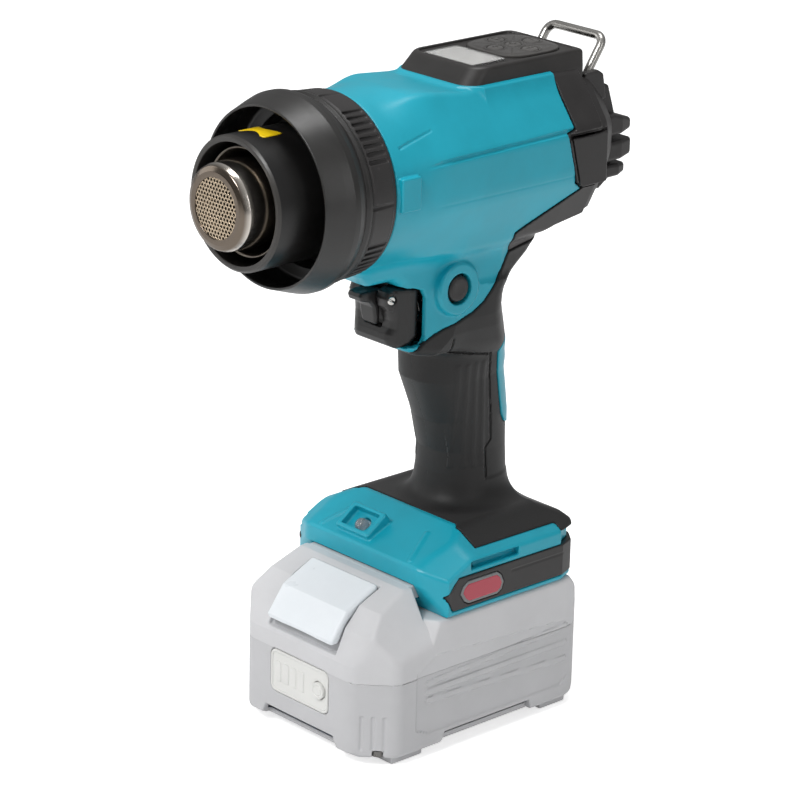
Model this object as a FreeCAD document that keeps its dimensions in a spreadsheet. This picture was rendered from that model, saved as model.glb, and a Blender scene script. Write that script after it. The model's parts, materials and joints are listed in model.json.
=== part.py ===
import FreeCAD, Part
import math
import os
import re

import Sketcher

# Cordless pistol-grip heat gun with a slide-on battery.
# Frame: +Z up, nozzle towards -Y, mid-plane at x = 0, z = 0 on the battery's feet.
# Seen by the user, who looks towards -Y, +X is left and -X is right.
# The blower and heater lie on one axis parallel to Y, at height bar_z.

os.makedirs("parts", exist_ok=True)
doc = FreeCAD.newDocument("heat_gun")
V = FreeCAD.Vector
Rotation = FreeCAD.Rotation

# ---------------------------------------------------------------- driving dimensions (mm)
sheet = doc.addObject("Spreadsheet::Sheet", "dims")
DIMS = [
    ("bar_z", 223.2, "height of the blower axis"),
    ("wall", 2.6, "moulded wall"),
    ("gap", 0.15, "clearance between neighbouring pieces"),
    ("split", 0.03, "half the gap on the mid-plane joint"),
    ("house_rad", 34.6, "housing radius at the lock ring"),
    ("house_front", -64.5, "front end of the housing"),
    ("house_rear", 27.5, "rear end of the housing"),
    ("cover_rear", 60.0, "rear wall of the rear cover"),
    ("nozzle_rad", 16.5, "nozzle outside radius"),
    ("nozzle_tip", -122.0, "front face of the nozzle"),
    ("tube_rad", 25.5, "front tube outside radius"),
    ("tube_front", -113.1, "front rim of the front tube"),
    ("guard_rim", -98.9, "front rim of the outer guard"),
    ("guard_rad", 38.0, "widest radius of the outer guard"),
    ("ring_front", -77.8, "front of the lock ring"),
    ("ring_rear", -64.9, "rear of the lock ring"),
    ("neck_half", 21.8, "half width of the neck"),
    ("foot_half", 43.3, "half width of the foot"),
    ("foot_low", 55.2, "underside of the foot"),
    ("foot_lip", -47.0, "front lip of the foot"),
    ("foot_back", 30.0, "rear of the foot"),
    ("deck_z", 66.3, "roof of the battery channel"),
    ("bezel_half", 20.8, "half width of the display housing"),
    ("bezel_top", 261.9, "top of the display housing"),
    ("bezel_low", 254.7, "underside of the display housing"),
    ("bezel_back", 45.0, "rear of the display housing"),
    ("key_rad", 3.3, "key radius"),
    ("hook_y", 51.0, "hook pivot, y"),
    ("hook_z", 248.6, "hook pivot, z"),
    ("hook_wire", 1.75, "hook wire radius"),
    ("lock_y", -21.0, "lock button, y"),
    ("lock_z", 178.6, "lock button, z"),
    ("pin_y", -44.6, "lock-off lever pin, y"),
    ("pin_z", 175.6, "lock-off lever pin, z"),
    ("pack_half", 43.0, "half width of the battery"),
    ("pack_front", -78.6, "front of the battery"),
    ("pack_back", 34.9, "rear of the battery"),
    ("pack_top", 55.0, "top of the battery sides"),
    ("foot_pad", 3.1, "height of the battery's feet"),
    ("cell_rad", 9.15, "cell radius"),
    ("cell_pitch", 20.6, "cell pitch"),
    ("cell_len", 65.0, "cell length"),
]
for row, (alias, value, note) in enumerate(DIMS, 1):
    sheet.set(f"A{row}", alias)
    sheet.set(f"B{row}", repr(value))
    sheet.setAlias(f"B{row}", alias)
    sheet.set(f"C{row}", note)
doc.recompute()
ALIASES = sorted((alias for alias, _, _ in DIMS), key=len, reverse=True)
ALIAS_WORD = re.compile(r"\b(" + "|".join(ALIASES) + r")\b")


# ---------------------------------------------------------------- building blocks
# A size or place is a plain number, or a text formula in the sheet's aliases.
def formula(size):
    """Expression for a size, with its aliases pointed at the sheet."""
    return ALIAS_WORD.sub(r"dims.\1", str(size))


def place(obj, x=0, y=0, z=0):
    """Binds an object's position and leaves its rotation alone."""
    for axis, size in (("x", x), ("y", y), ("z", z)):
        obj.setExpression(f"Placement.Base.{axis}", formula(size))


def turn(obj, rotation):
    obj.Placement = FreeCAD.Placement(V(0, 0, 0), rotation)


def box(x0, x1, y0, y1, z0, z1):
    o = doc.addObject("Part::Box", "box")
    o.setExpression("Length", formula(f"({x1}) - ({x0})"))
    o.setExpression("Width", formula(f"({y1}) - ({y0})"))
    o.setExpression("Height", formula(f"({z1}) - ({z0})"))
    place(o, x0, y0, z0)
    return o


def mid_box(half, y0, y1, z0, z1):
    """Box centred on the mid-plane."""
    return box(f"-({half})", half, y0, y1, z0, z1)


def box_pair(x0, x1, y0, y1, z0, z1):
    """A box and its mirror image across the mid-plane, as a list."""
    return [box(x0, x1, y0, y1, z0, z1), box(f"-({x1})", f"-({x0})", y0, y1, z0, z1)]


def spun_box(size, corner, angle, yaw=0):
    """Box swung by angle about the blower axis; yaw first turns it about its own corner."""
    swing = Rotation(V(0, 1, 0), angle)
    o = doc.addObject("Part::Box", "spun_box")
    o.Length, o.Width, o.Height = size
    turn(o, swing.multiply(Rotation(V(0, 0, 1), yaw)))
    spot = swing.multVec(V(*corner))
    place(o, f"{spot.x:.6f}", f"{spot.y:.6f}", f"bar_z + {spot.z:.6f}")
    return o


AXIS_TURN = {
    "x": Rotation(V(0, 1, 0), 90),
    "y": Rotation(V(1, 0, 0), -90),
    "z": Rotation(),
}


def cyl(axis, radius, lo, hi, p, q):
    """Cylinder along an axis from lo to hi; p, q are its other coordinates in x, y, z order."""
    o = doc.addObject("Part::Cylinder", "cyl")
    turn(o, AXIS_TURN[axis])
    o.setExpression("Radius", formula(radius))
    o.setExpression("Height", formula(f"({hi}) - ({lo})"))
    place(o, *{"x": (lo, p, q), "y": (p, lo, q), "z": (p, q, lo)}[axis])
    return o


def fuse(*shapes):
    o = doc.addObject("Part::MultiFuse", "fuse")
    o.Shapes = list(shapes)
    return o


def cut(body, *tools):
    """Cuts the tools away one after another."""
    for tool in tools:
        o = doc.addObject("Part::Cut", "cut")
        o.Base, o.Tool = body, tool
        body = o
    return body


def common(body, *others):
    """Intersects the body with the others one after another."""
    for other in others:
        o = doc.addObject("Part::MultiCommon", "common")
        o.Shapes = [body, other]
        body = o
    return body


def compound(shapes):
    o = doc.addObject("Part::Compound", "compound")
    o.Links = shapes
    return o


def mirrored(half):
    """Closes an outline given on one side of x = 0 with its mirror image."""
    return half + [(f"-({x})", v) for x, v in half[::-1]]


def fill_sketch(sketch, points):
    """Closed polygon whose corners are each held by two dimensions."""
    count = len(points)
    angles = [2 * math.pi * i / count for i in range(count)]
    ring = [V(50 * math.cos(a), 50 * math.sin(a), 0) for a in angles]
    for i in range(count):
        sketch.addGeometry(Part.LineSegment(ring[i], ring[(i + 1) % count]), False)
    for i in range(count):
        sketch.addConstraint(Sketcher.Constraint("Coincident", i, 2, (i + 1) % count, 1))
    for i, (px, py) in enumerate(points):
        for kind, size, start in (("DistanceX", px, ring[i].x), ("DistanceY", py, ring[i].y)):
            # A plain number is set outright; float() refuses a formula, which is bound instead.
            try:
                k = sketch.addConstraint(Sketcher.Constraint(kind, i, 1, float(size)))
            except ValueError:
                k = sketch.addConstraint(Sketcher.Constraint(kind, i, 1, start))
                sketch.setExpression(f"Constraints[{k}]", formula(size))
    return sketch


def body_sketch(body, plane, points):
    sketch = body.newObject("Sketcher::SketchObject", "outline")
    support = next(f for f in body.Origin.OriginFeatures if f.Role == plane)
    sketch.AttachmentSupport = [(support, "")]
    sketch.MapMode = "FlatFace"
    return fill_sketch(sketch, points)


def revolved(points, at=(0, 0, "bar_z"), rotation=Rotation()):
    """Body turned about an axis parallel to Y, then rotated; points are (y, radius)."""
    body = doc.addObject("PartDesign::Body", "turned")
    sketch = body_sketch(body, "YZ_Plane", points)
    revolution = body.newObject("PartDesign::Revolution", "revolution")
    revolution.Profile = sketch
    revolution.ReferenceAxis = (sketch, ["H_Axis"])
    revolution.Angle = 360
    sketch.Visibility = False
    turn(body, rotation)
    place(body, *at)
    return body


def padded(plane, points, lo, hi):
    """Body padded from lo to hi across the plane: x for YZ, y for XZ, z for XY."""
    body = doc.addObject("PartDesign::Body", "padded")
    sketch = body_sketch(body, plane, points)
    pad = body.newObject("PartDesign::Pad", "pad")
    pad.Profile = sketch
    pad.setExpression("Length", formula(f"({hi}) - ({lo})"))
    # The XZ plane's normal is -Y, so that pad starts at hi.
    place(body, *{"YZ_Plane": (lo, 0, 0), "XZ_Plane": (0, hi, 0), "XY_Plane": (0, 0, lo)}[plane])
    return body


def side_pad(points, half):
    """Side outline (y, z) padded equally to both sides of the mid-plane."""
    return padded("YZ_Plane", points, f"-({half})", half)


def plan_pad(points, lo, hi):
    """Plan outline (x, y) padded upwards."""
    return padded("XY_Plane", points, lo, hi)


def front_pad(points, half):
    """Front outline (x, z) padded from y = -half to half."""
    return padded("XZ_Plane", points, -half, half)


def section(axis, at, points):
    """Free sketch across an axis: points are (x, z) across Y, or (x, y) across Z."""
    sketch = doc.addObject("Sketcher::SketchObject", "section")
    if axis == "y":
        turn(sketch, Rotation(V(1, 0, 0), 90))
        place(sketch, y=at)
    else:
        place(sketch, z=at)
    return fill_sketch(sketch, points)


def loft(sections):
    o = doc.addObject("Part::Loft", "loft")
    o.Sections = sections
    o.Solid = True
    o.Ruled = True
    return o


def coil(pitch, height, radius, wire_rad, slope, at, rotation):
    """Helical wire; slope tilts the wire's section along the helix."""
    helix = Part.Wire(Part.makeHelix(pitch, height, radius).Edges)
    wire = Part.Wire([Part.makeCircle(wire_rad, V(radius, 0, 0), V(0, 1, slope))])
    o = doc.addObject("Part::Feature", "coil")
    o.Shape = helix.makePipeShell([wire], True, True)
    turn(o, rotation)
    place(o, *at)
    return o


# ---------------------------------------------------------------- barrel envelope
# The barrel is round at the lock ring and six-sided behind it. Each section has eighteen
# corners: top, eight on each side, bottom. The tables give (x, z) from the axis, +X half.
ROUND = [  # as fractions of the radius
    (0, 1.0), (0.292, 0.956), (0.563, 0.826), (0.794, 0.608), (0.948, 0.319),
    (0.985, -0.172), (0.860, -0.510), (0.635, -0.772), (0.349, -0.937), (0, -1.0),
]
HEX = [  # mm
    (0, 31.4), (10.75, 31.4), (21.5, 31.3), (28.3, 21.7), (35.0, 11.8),
    (35.6, -6.2), (29.8, -17.7), (24.0, -29.2), (12.0, -32.4), (0, -34.4),
]
CROWN = 2.6  # extra height of the top corners at y = -40


def full_ring(half):
    return half + [(f"-({x})", z) for x, z in half[1:-1]][::-1]


def barrel_round(shrink):
    radius = f"(house_rad - {shrink})"
    return full_ring([(f"{x}*{radius}", f"bar_z + {z}*{radius}") for x, z in ROUND])


def barrel_hex(shrink, crown=0.0, scale=1.0):
    points = []
    for i, (x, z) in enumerate(HEX):
        height = z + (crown if i < 2 else 0.0)
        points.append((
            f"{x * scale:.3f}*(1 - {shrink}/house_rad)",
            f"bar_z + {height * scale:.3f}*(1 - {shrink}/house_rad)",
        ))
    return full_ring(points)


def barrel(shrink, front, round_end, rear):
    return loft([
        section("y", front, barrel_round(shrink)),
        section("y", round_end, barrel_round(shrink)),
        section("y", -40, barrel_hex(shrink, crown=CROWN)),
        section("y", -19, barrel_hex(shrink)),
        section("y", rear, barrel_hex(shrink)),
    ])


# ---------------------------------------------------------------- neck envelope
# Side outlines (y, z), outside and inside.
NECK = [
    (-57.5, 190), (-57.5, 185.2), (-54, 181.6), (-43.5, 184), (-41.5, 181), (-41.5, 158),
    (-41.5, 153.5), (-36.5, 149.8), (-29, 149), (-20, 150), (19, 150), (20.4, 160),
    (21.4, 172), (25.4, 177), (27.3, 180), (27.3, 204), (-57.5, 204),
]
NECK_IN = [
    (-53, 190), (-43, 187), (-38.5, 184), (-38.5, 156), (-35, 152.8), (-28, 152), (-18, 154),
    (-16, 149), (15, 149), (17.6, 160), (18.8, 173), (24.6, 181), (24.6, 206), (-53, 206),
]
# Plan outlines (x, y), -X half; both narrow at the front and the rear.
NECK_PLAN = mirrored([
    (-8.5, -60), (-14.5, -45), ("-neck_half", -21), ("-neck_half", 0), (-16.5, 20), (-11.5, 44),
])
NECK_PLAN_IN = mirrored([
    (-6, -56), (-11.9, -44), ("-(neck_half - wall)", -20), ("-(neck_half - wall)", -1),
    (-13.6, 18.5), (-10, 34),
])
# Front outline (x, z), +X half; it narrows downwards into the grip.
TAPER = [(22.3, 212), (22.3, 168), (18.6, 149.5), (17, 137)]


def taper(shrink):
    return front_pad(mirrored([(f"{x} - {shrink}", z) for x, z in TAPER]), 62)


def neck(side, plan, shrink):
    return common(side_pad(side, 25), plan_pad(plan, 130, 210), taper(shrink))


# ---------------------------------------------------------------- grip envelope
# Twelve corners of a near-ellipse with flattened sides, as fractions of the half axes.
OVAL = [
    (1, 0), (0.93, 0.42), (0.62, 0.80), (0, 1), (-0.62, 0.80), (-0.93, 0.42),
    (-1, 0), (-0.93, -0.42), (-0.62, -0.80), (0, -1), (0.62, -0.80), (0.93, -0.42),
]
# Stations: z, centre y, half width, half depth.
GRIP = [
    (150, -0.6, 18.4, 21.9), (137, -1.4, 16.6, 21.9), (119, 3.5, 16.1, 19.1),
    (106, 5.1, 15.6, 17.7), (97, 5.0, 16.2, 18.4), (90, 2.5, 20.0, 22.0),
]
CORE_OUT_TOP = (158, -0.4, 19.8, 22.4)
CORE_OUT_LOW = (80, 4.0, 18.0, 20.0)
CORE_IN_TOP = (160, -0.4, 19.8, 22.4)
CORE_IN_LOW = (76, 4.0, 18.0, 20.0)
SKIN = 2.4  # thickness of the soft covering
CORE_INSET = 4.8  # inside of the core, from the grip's surface


def grip_loft(stations, shrink):
    return loft([
        section("z", z, [
            (f"{u}*({half_x} - {shrink})", f"{centre} + {v}*({half_y} - {shrink})")
            for u, v in OVAL
        ])
        for z, centre, half_x, half_y in stations
    ])


# ---------------------------------------------------------------- foot envelope
# Side outlines (y, z); the top slopes up from the front lip.
FOOT = [
    ("foot_lip", 64.2), ("foot_lip", 73.7), (-41, 77.2), (-21, 81.6), (20, 81.6),
    ("foot_back", 76), ("foot_back", "foot_low"), (-41.4, "foot_low"),
]
FOOT_IN = [
    ("foot_lip + 3", "deck_z + 2.2"), ("foot_lip + 3", 72.4), (-40, 74.8), (-21, 79), (19, 79),
    ("foot_back - wall", 74.4), ("foot_back - wall", "foot_low - 1"), (24.2, "foot_low - 1"),
    (24.2, "deck_z + 2.2"),
]
# Plan outlines (x, y), -X half, with chamfered front and rear corners.
FOOT_PLAN = mirrored([
    (-33.5, "foot_lip - 1"), ("-foot_half", -40), ("-foot_half", 22), (-36, "foot_back + 1"),
])
FOOT_PLAN_IN = mirrored([
    (-30, "foot_lip + 2"), ("-(foot_half - wall)", -38), ("-(foot_half - wall)", 20),
    (-34, "foot_back"),
])
# Front outline (x, z), +X half; the top slopes down to both flanks.
SHOULDER = [(46, 74.9), (43.3, 76.3), (28.6, 84)]


def foot(side, plan, drop):
    half = [(46, 50)] + [(x, f"{z} - {drop}") for x, z in SHOULDER]
    return common(side_pad(side, 50), plan_pad(plan, 50, 90), front_pad(mirrored(half), 62))


barrel_out = barrel("0", "house_front", "house_front + 5", "house_rear")
barrel_in = barrel("wall", "house_front + wall", "house_front + 6", "house_rear + 1")
neck_out = neck(NECK, NECK_PLAN, "0.4")
neck_in = neck(NECK_IN, NECK_PLAN_IN, "wall + 0.4")
core_out = grip_loft([CORE_OUT_TOP] + GRIP[:-1] + [CORE_OUT_LOW], SKIN)
core_in = grip_loft([CORE_IN_TOP] + GRIP[:-1] + [CORE_IN_LOW], CORE_INSET)
# A minus sign before a bracketless sum applies to each term: the inner roof is z - wall + 0.4.
foot_out = foot(FOOT, FOOT_PLAN, "0")
foot_in = foot(FOOT_IN, FOOT_PLAN_IN, "wall + 0.4")
housing_outer = fuse(barrel_out, neck_out, core_out, foot_out)
housing_inner = fuse(barrel_in, neck_in, core_in, foot_in)

# ---------------------------------------------------------------- housing halves
# Screw bosses on the mid-plane: y, z, half length.
BOSSES = [
    (-48.5, 190.6, 5), (22, 187, 5), (13, 166, 5), (-26, 155.6, 5),
    (4, 127, 4.5), (5, 98, 4.5), (-40.6, 70.6, 5), (25.2, 66, 5),
]
# Walls that join the bosses to both halves: half width, y from, y to, z from, z to.
BOSS_WALLS = [
    (5, -50.5, -46.5, 184.5, 189.2), (5, 21.5, 26.5, 185.5, 188.5),
    (5, 13, 19.5, 164.5, 167.5), (5, -28, -24, 150, 154.5),
    (4.5, 4, 20.2, 126, 128), (4.5, 5, 19.8, 97, 99),
    (5, -46, -40, 66.8, 69.2), (5, 24, 28.6, 62, 68),
]
BOSS_RAD = 3.1
PILOT_RAD = 1.6
HEAD_HOLE_RAD = 2.8
HEAD_SEAT_X = -4.2
REACH = 120  # farther out than any piece


def battery_channel():
    """Channel open at the front; the ledges under its sides carry the battery's rails."""
    front = "foot_lip - 6"
    return fuse(
        mid_box(26.4, front, 22, "foot_low - 2", "deck_z"),
        mid_box(29.6, front, 22, 60, "deck_z"),
        mid_box(50, front, -37.4, "foot_low - 8", "foot_low + 0.4"),
    )


def band_rebate():
    """Shallow rebate round the sides and the rear of the foot for the bumper band."""
    kept = mirrored([
        ("-foot_half + 2", -40.5), ("-foot_half + 2", 21), (-35, "foot_back - 1.4"),
    ])
    return cut(mid_box(50, -40, "foot_back + 4", 57.4, 70.2), plan_pad(kept, 50, 90))


def housing_openings():
    tube = cyl("y", "tube_rad + 0.3", "house_front - 1", "house_front + 4", 0, "bar_z")
    trigger_opening = mid_box(11.5, -60, -36, 154.6, 181.2)
    lock_hole = cyl("x", 6.0, 15, 30, "lock_y", "lock_z")
    lamp_opening = box(-11.2, -4.8, -43.5, -33, 71.5, 83)
    upper_cable_way = mid_box(9, -15.5, 12, 147, 156)
    lower_cable_way = mid_box(8, -6.5, 10, 76, 96)
    side_slots = mid_box(46, -29.5, -4, 72.4, 75.6)
    terminal_seat = mid_box(24.3, 10, 24.5, "deck_z - 3", "deck_z + 3")
    return fuse(tube, trigger_opening, lock_hole, lamp_opening, upper_cable_way,
                lower_cable_way, side_slots, terminal_seat)


def whole_housing():
    shell = cut(housing_outer, housing_inner)
    bosses = fuse(*[cyl("x", BOSS_RAD, -half, half, y, z) for y, z, half in BOSSES])
    walls = fuse(*[mid_box(*wall) for wall in BOSS_WALLS])
    bossed = fuse(shell, common(fuse(bosses, walls), housing_outer))
    screw_holes = fuse(
        *[cyl("x", PILOT_RAD, -6, 4.8, y, z) for y, z, _ in BOSSES],
        *[cyl("x", HEAD_HOLE_RAD, -45, HEAD_SEAT_X, y, z) for y, z, _ in BOSSES],
    )
    return cut(bossed, screw_holes, housing_openings(), battery_channel(), band_rebate())


def left_part(shape, y0, y1, z0, z1):
    return common(shape, box("split", REACH, y0, y1, z0, z1))


def right_part(shape, y0, y1, z0, z1):
    return common(shape, box(-REACH, "-split", y0, y1, z0, z1))


def housing_screws():
    return compound([
        fuse(cyl("x", 1.45, -4.4, 4.6, y, z), cyl("x", 2.5, -6.2, -4.25, y, z))
        for y, z, _ in BOSSES
    ])


# ---------------------------------------------------------------- soft grip covering
# It covers the rear of the neck, the grip and the top of the foot.
NECK_SKIN = [  # side outline (y, z)
    (-34, 150.6), (-28, 147.6), (-22.5, 146), (-22.5, 143), (20.6, 143), (21.6, 150),
    (22.4, 160), (23.4, 172), (27.5, 177), (33.9, 182), (38.4, 188.6), (27.9, 188.6),
    (27.6, 184.5), (19, 178), (10, 168.5), (-6, 164.8), (-18, 161.5), (-27, 157),
]
NECK_SKIN_PLAN = mirrored([  # (x, y), -X half
    (-12, -40), ("-(neck_half + 0.4)", -21), ("-(neck_half + 0.4)", 0), (-17.4, 20), (-12.5, 44),
])
FOOT_SKIN = [(-22, 77), (-22, 84.6), (18, 84.6), (25, 80.5), (25, 77)]  # side outline (y, z)
FOOT_SKIN_PLAN = mirrored([(-25, -22), (-39, -19), (-39, 12), (-30, 25)])  # (x, y)
FOOT_SKIN_FRONT = mirrored([(-40, 77), (-40, 79.4), (-30, 84.7)])  # (x, z)
FOOT_FLARE_LOW = (84.4, 0.5, 26.0, 25.0)  # a station laid out as in GRIP


def whole_skin():
    neck_skin = common(side_pad(NECK_SKIN, 25), plan_pad(NECK_SKIN_PLAN, 130, 210), taper("0"))
    foot_skin = fuse(
        common(side_pad(FOOT_SKIN, 45), plan_pad(FOOT_SKIN_PLAN, 70, 90),
               front_pad(FOOT_SKIN_FRONT, 30)),
        grip_loft([FOOT_FLARE_LOW, GRIP[-1]], 0),
    )
    covered = fuse(housing_outer, side_pad(NECK_IN, 15), core_in)
    inlay_windows = fuse(*box_pair(8.2, 18, 7.6, 40, 105, 145.9))
    return cut(fuse(grip_loft(GRIP, 0), neck_skin, foot_skin), covered, inlay_windows)


whole_rubber = whole_skin()


def grip_inlays():
    """Coloured strips in the windows on the rear corners of the grip."""
    blocks = fuse(*box_pair(8.4, 18, 7.8, 40, 106.2, 145.7))
    strips = common(grip_loft(GRIP[:4], 0.15), blocks)
    return cut(strips, grip_loft([CORE_OUT_TOP] + GRIP[:4], 2.2), fuse(neck_out, whole_rubber))


# ---------------------------------------------------------------- foot trim
BAND_PLAN = mirrored([  # (x, y), -X half, from the inner face round the front end
    (-35, "foot_back - 1.2"), ("-foot_half + 1.8", 21.1), ("-foot_half + 1.8", -39.8),
    ("-foot_half", -39.8), ("-foot_half", 22), (-36, "foot_back + 0.9"),
])
BADGE = [(-35.2, 63.5), (-32.5, 59), (-14.5, 59), (-12.4, 62), (-15, 68.3), (-33, 68.3)]  # (y, z)


def foot_bumper():
    badge_gaps = mid_box(50, -35.6, -12, 58.6, 68.6)
    return cut(plan_pad(BAND_PLAN, 57.6, 70), badge_gaps)


def side_badges():
    return compound([
        padded("YZ_Plane", BADGE, "foot_half - 1.8", "foot_half + 0.3"),
        padded("YZ_Plane", BADGE, "-foot_half - 0.3", "-foot_half + 1.8"),
    ])


# ---------------------------------------------------------------- rear cover, grille, filter
# Cover sections (x, z) about a centre COVER_DROP below the axis, +X half.
COVER_DROP = 2
COVER_MID = [
    (0, 24.4), (10, 24.4), (19, 23.6), (24, 16), (27, 9),
    (27, -6), (24, -16), (19, -24), (10, -27.5), (0, -29),
]
COVER_END = [
    (0, 17), (10, 17), (18, 16), (22, 12), (23, 8),
    (23, -6), (21, -13), (16, -19), (9, -22.5), (0, -24),
]
EAR = [(46.2, 242), (46.2, 250.5), (48.5, 253), (53.5, 253), (55.8, 250.5), (55.8, 241)]  # (y, z)


def cover_ring(points, scale):
    centre = f"bar_z - {COVER_DROP}"
    return full_ring([(f"{x}*{scale}", f"{centre} + ({z})*{scale}") for x, z in points])


def cover_loft(front, shrink, mid_scale, end_scale, rear):
    return loft([
        section("y", front, barrel_hex(shrink, scale=0.985)),
        section("y", 42, barrel_hex(shrink, scale=0.955)),
        section("y", 53, cover_ring(COVER_MID, mid_scale)),
        section("y", rear, cover_ring(COVER_END, end_scale)),
    ])


def rear_cover():
    outside = cover_loft("house_rear + gap", "0", 1, 1, "cover_rear")
    hollow = cover_loft("house_rear - 1", "wall", 0.89, 0.86, "cover_rear - wall")
    ears = fuse(padded("YZ_Plane", EAR, 17.4, 20.6), padded("YZ_Plane", EAR, -20.6, -17.4))
    intake = mid_box(15.5, "cover_rear - 6", "cover_rear + 4", "bar_z - 16.5", "bar_z + 9.5")
    hook_hole = cyl("x", "hook_wire + 0.08", -19.6, 19.6, "hook_y", "hook_z")
    hook_room = mid_box(16.9, 45.2, 60, 245.9, 256)
    return cut(fuse(outside, ears), hollow, fuse(intake, hook_hole), hook_room)


def intake_grille():
    front = "cover_rear + gap"
    fins = fuse(
        mid_box(22, front, 72, 226.4, 231.4),
        mid_box(22, front, 72.6, 214.2, 222.8),
        mid_box(20.5, front, 70.5, 207.6, 211.8),
        # back plate, upright bars, and the two lips that enter the intake
        mid_box(17.5, front, "cover_rear + 2.2", 205.5, 234.5),
        *box_pair(12.8, 15.3, "cover_rear + 1", 68, 206, 231),
        mid_box(15.3, "cover_rear - 4", "cover_rear + 1", "bar_z - 16.3", "bar_z - 14"),
        mid_box(15.3, "cover_rear - 4", "cover_rear + 1", "bar_z + 7", "bar_z + 9.3"),
    )
    slots = fuse(*[
        mid_box(12.6, "cover_rear - 5", "cover_rear + 3", low, high)
        for low, high in ((223.2, 226), (212.1, 213.9))
    ])
    return cut(fins, slots)


def dust_filter():
    return mid_box(15, "cover_rear - 5.6", "cover_rear - 4.4", "bar_z - 16", "bar_z + 9")


# ---------------------------------------------------------------- hook
HOOK_TILT = 34.6  # degrees, top of the hook leaning to the rear
HOOK_LEG = 17.4
HOOK_LEG_X = 15


def hook():
    """Wire loop drawn about its pivot, tilted, then moved to the ears."""
    wire = fuse(
        cyl("x", "hook_wire", 13.25, 19.5, 0, 0),
        cyl("x", "hook_wire", -19.5, -13.25, 0, 0),
        cyl("z", "hook_wire", 0, HOOK_LEG, HOOK_LEG_X, 0),
        cyl("z", "hook_wire", 0, HOOK_LEG, -HOOK_LEG_X, 0),
        cyl("x", "hook_wire", -HOOK_LEG_X, HOOK_LEG_X, 0, HOOK_LEG),
    )
    bends = []
    for x in (-HOOK_LEG_X, HOOK_LEG_X):
        for z in (0, HOOK_LEG):
            bend = doc.addObject("Part::Sphere", "bend")
            bend.setExpression("Radius", formula("hook_wire"))
            place(bend, x, 0, z)
            bends.append(bend)
    loop = fuse(wire, *bends)
    turn(loop, Rotation(V(1, 0, 0), -HOOK_TILT))
    place(loop, 0, "hook_y", "hook_z")
    return loop


# ---------------------------------------------------------------- nozzle and guards
# All are turned about the blower axis; profiles are (y, radius).
NOZZLE = [
    ("nozzle_tip + 3", "nozzle_rad"), ("nozzle_tip + 0.9", "nozzle_rad - 0.9"),
    ("nozzle_tip", "nozzle_rad - 3"), ("nozzle_tip", 11.5), ("nozzle_tip + 1.2", 11.5),
    ("nozzle_tip + 1.2", "nozzle_rad - 1.2"), (-40, "nozzle_rad - 1.2"),
    (-40, "nozzle_rad - 0.4"), ("nozzle_tip + 14.4", "nozzle_rad - 0.4"),
    ("nozzle_tip + 14", "nozzle_rad"),
]
MESH = [
    ("nozzle_tip + 1.3", 0), ("nozzle_tip + 1.9", 0),
    ("nozzle_tip + 1.9", "nozzle_rad - 1.3"), ("nozzle_tip + 1.3", "nozzle_rad - 1.3"),
]
MESH_PITCH = 3.2
MESH_HOLE_RAD = 1.1
HEAT_SHIELD = [(-108, 19.7), (-108, 20.5), (-48, 20.5), (-48, 19.7)]
FLANGE_FRONT = "house_front + wall + gap"
FLANGE_REAR = "house_front + wall + 2.4"
FRONT_TUBE = [
    ("tube_front", 22.8), ("tube_front", "tube_rad - 0.8"), ("tube_front + 0.8", "tube_rad"),
    (-74, "tube_rad"), (-74, 29.3), ("house_front - gap", 29.3),
    ("house_front - gap", "tube_rad"), (FLANGE_FRONT, "tube_rad"), (FLANGE_FRONT, 30),
    (FLANGE_REAR, 30), (FLANGE_REAR, 20.7), (FLANGE_FRONT, 20.7), (FLANGE_FRONT, 22.8),
]
MARKER = [
    (-104.5, "tube_rad + 0.05"), (-95.5, "tube_rad + 0.05"),
    (-95.5, "tube_rad + 0.25"), (-104.5, "tube_rad + 0.25"),
]
OUTER_GUARD = [
    ("guard_rim", 33.3), ("guard_rim", 34.4), (-96.6, 35.3), (-91, 37.2),
    (-86.5, "guard_rad"), (-84.5, "guard_rad"), (-81, 37.3), (-78.2, 36.8), (-78.2, 31.9),
    (-66.2, 31.9), (-66.2, 29.5), (-80.5, 29.5), (-82, 34.6), (-88, 35.7), (-97, 33.5),
]
LOCK_RING = [
    ("ring_front", 32.15), ("ring_front", 35.4), (-76.6, 35.9), (-67, 35.2),
    ("ring_rear", 34.6), ("ring_rear", 32.15),
]
RIB_SIZE = (1.4, 8.5, 2.0)
RIB_CORNER = (-0.7, -76.0, 34.3)
RIB_STEP = 5.2  # degrees


def nozzle_mesh():
    """Disc with three rings of six, twelve and eighteen holes."""
    holes = []
    for ring in (1, 2, 3):
        radius = MESH_PITCH * ring
        for i in range(6 * ring):
            angle = 2 * math.pi * i / (6 * ring)
            x = f"{radius * math.cos(angle):.4f}"
            z = f"bar_z + {radius * math.sin(angle):.4f}"
            holes.append(cyl("y", MESH_HOLE_RAD, "nozzle_tip + 1", "nozzle_tip + 2.2", x, z))
    return cut(revolved(MESH), fuse(*holes))


def tube_marker():
    """Thin patch on top of the front tube."""
    patch = box(-12, 6.5, -110, -90, "bar_z + 10", "bar_z + 30")
    return common(revolved(MARKER), patch)


def lock_ring():
    """Ring with four groups of seven ribs."""
    ribs = [
        spun_box(RIB_SIZE, RIB_CORNER, group + i * RIB_STEP)
        for group in (45, 135, 225, 315)
        for i in range(-3, 4)
    ]
    return fuse(revolved(LOCK_RING), *ribs)


# ---------------------------------------------------------------- heater
HEATER_FRONT = -104
HEATER_REAR = -46
ALONG_Y = Rotation(V(1, 0, 0), -90)  # lays a coil's own Z along Y


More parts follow.
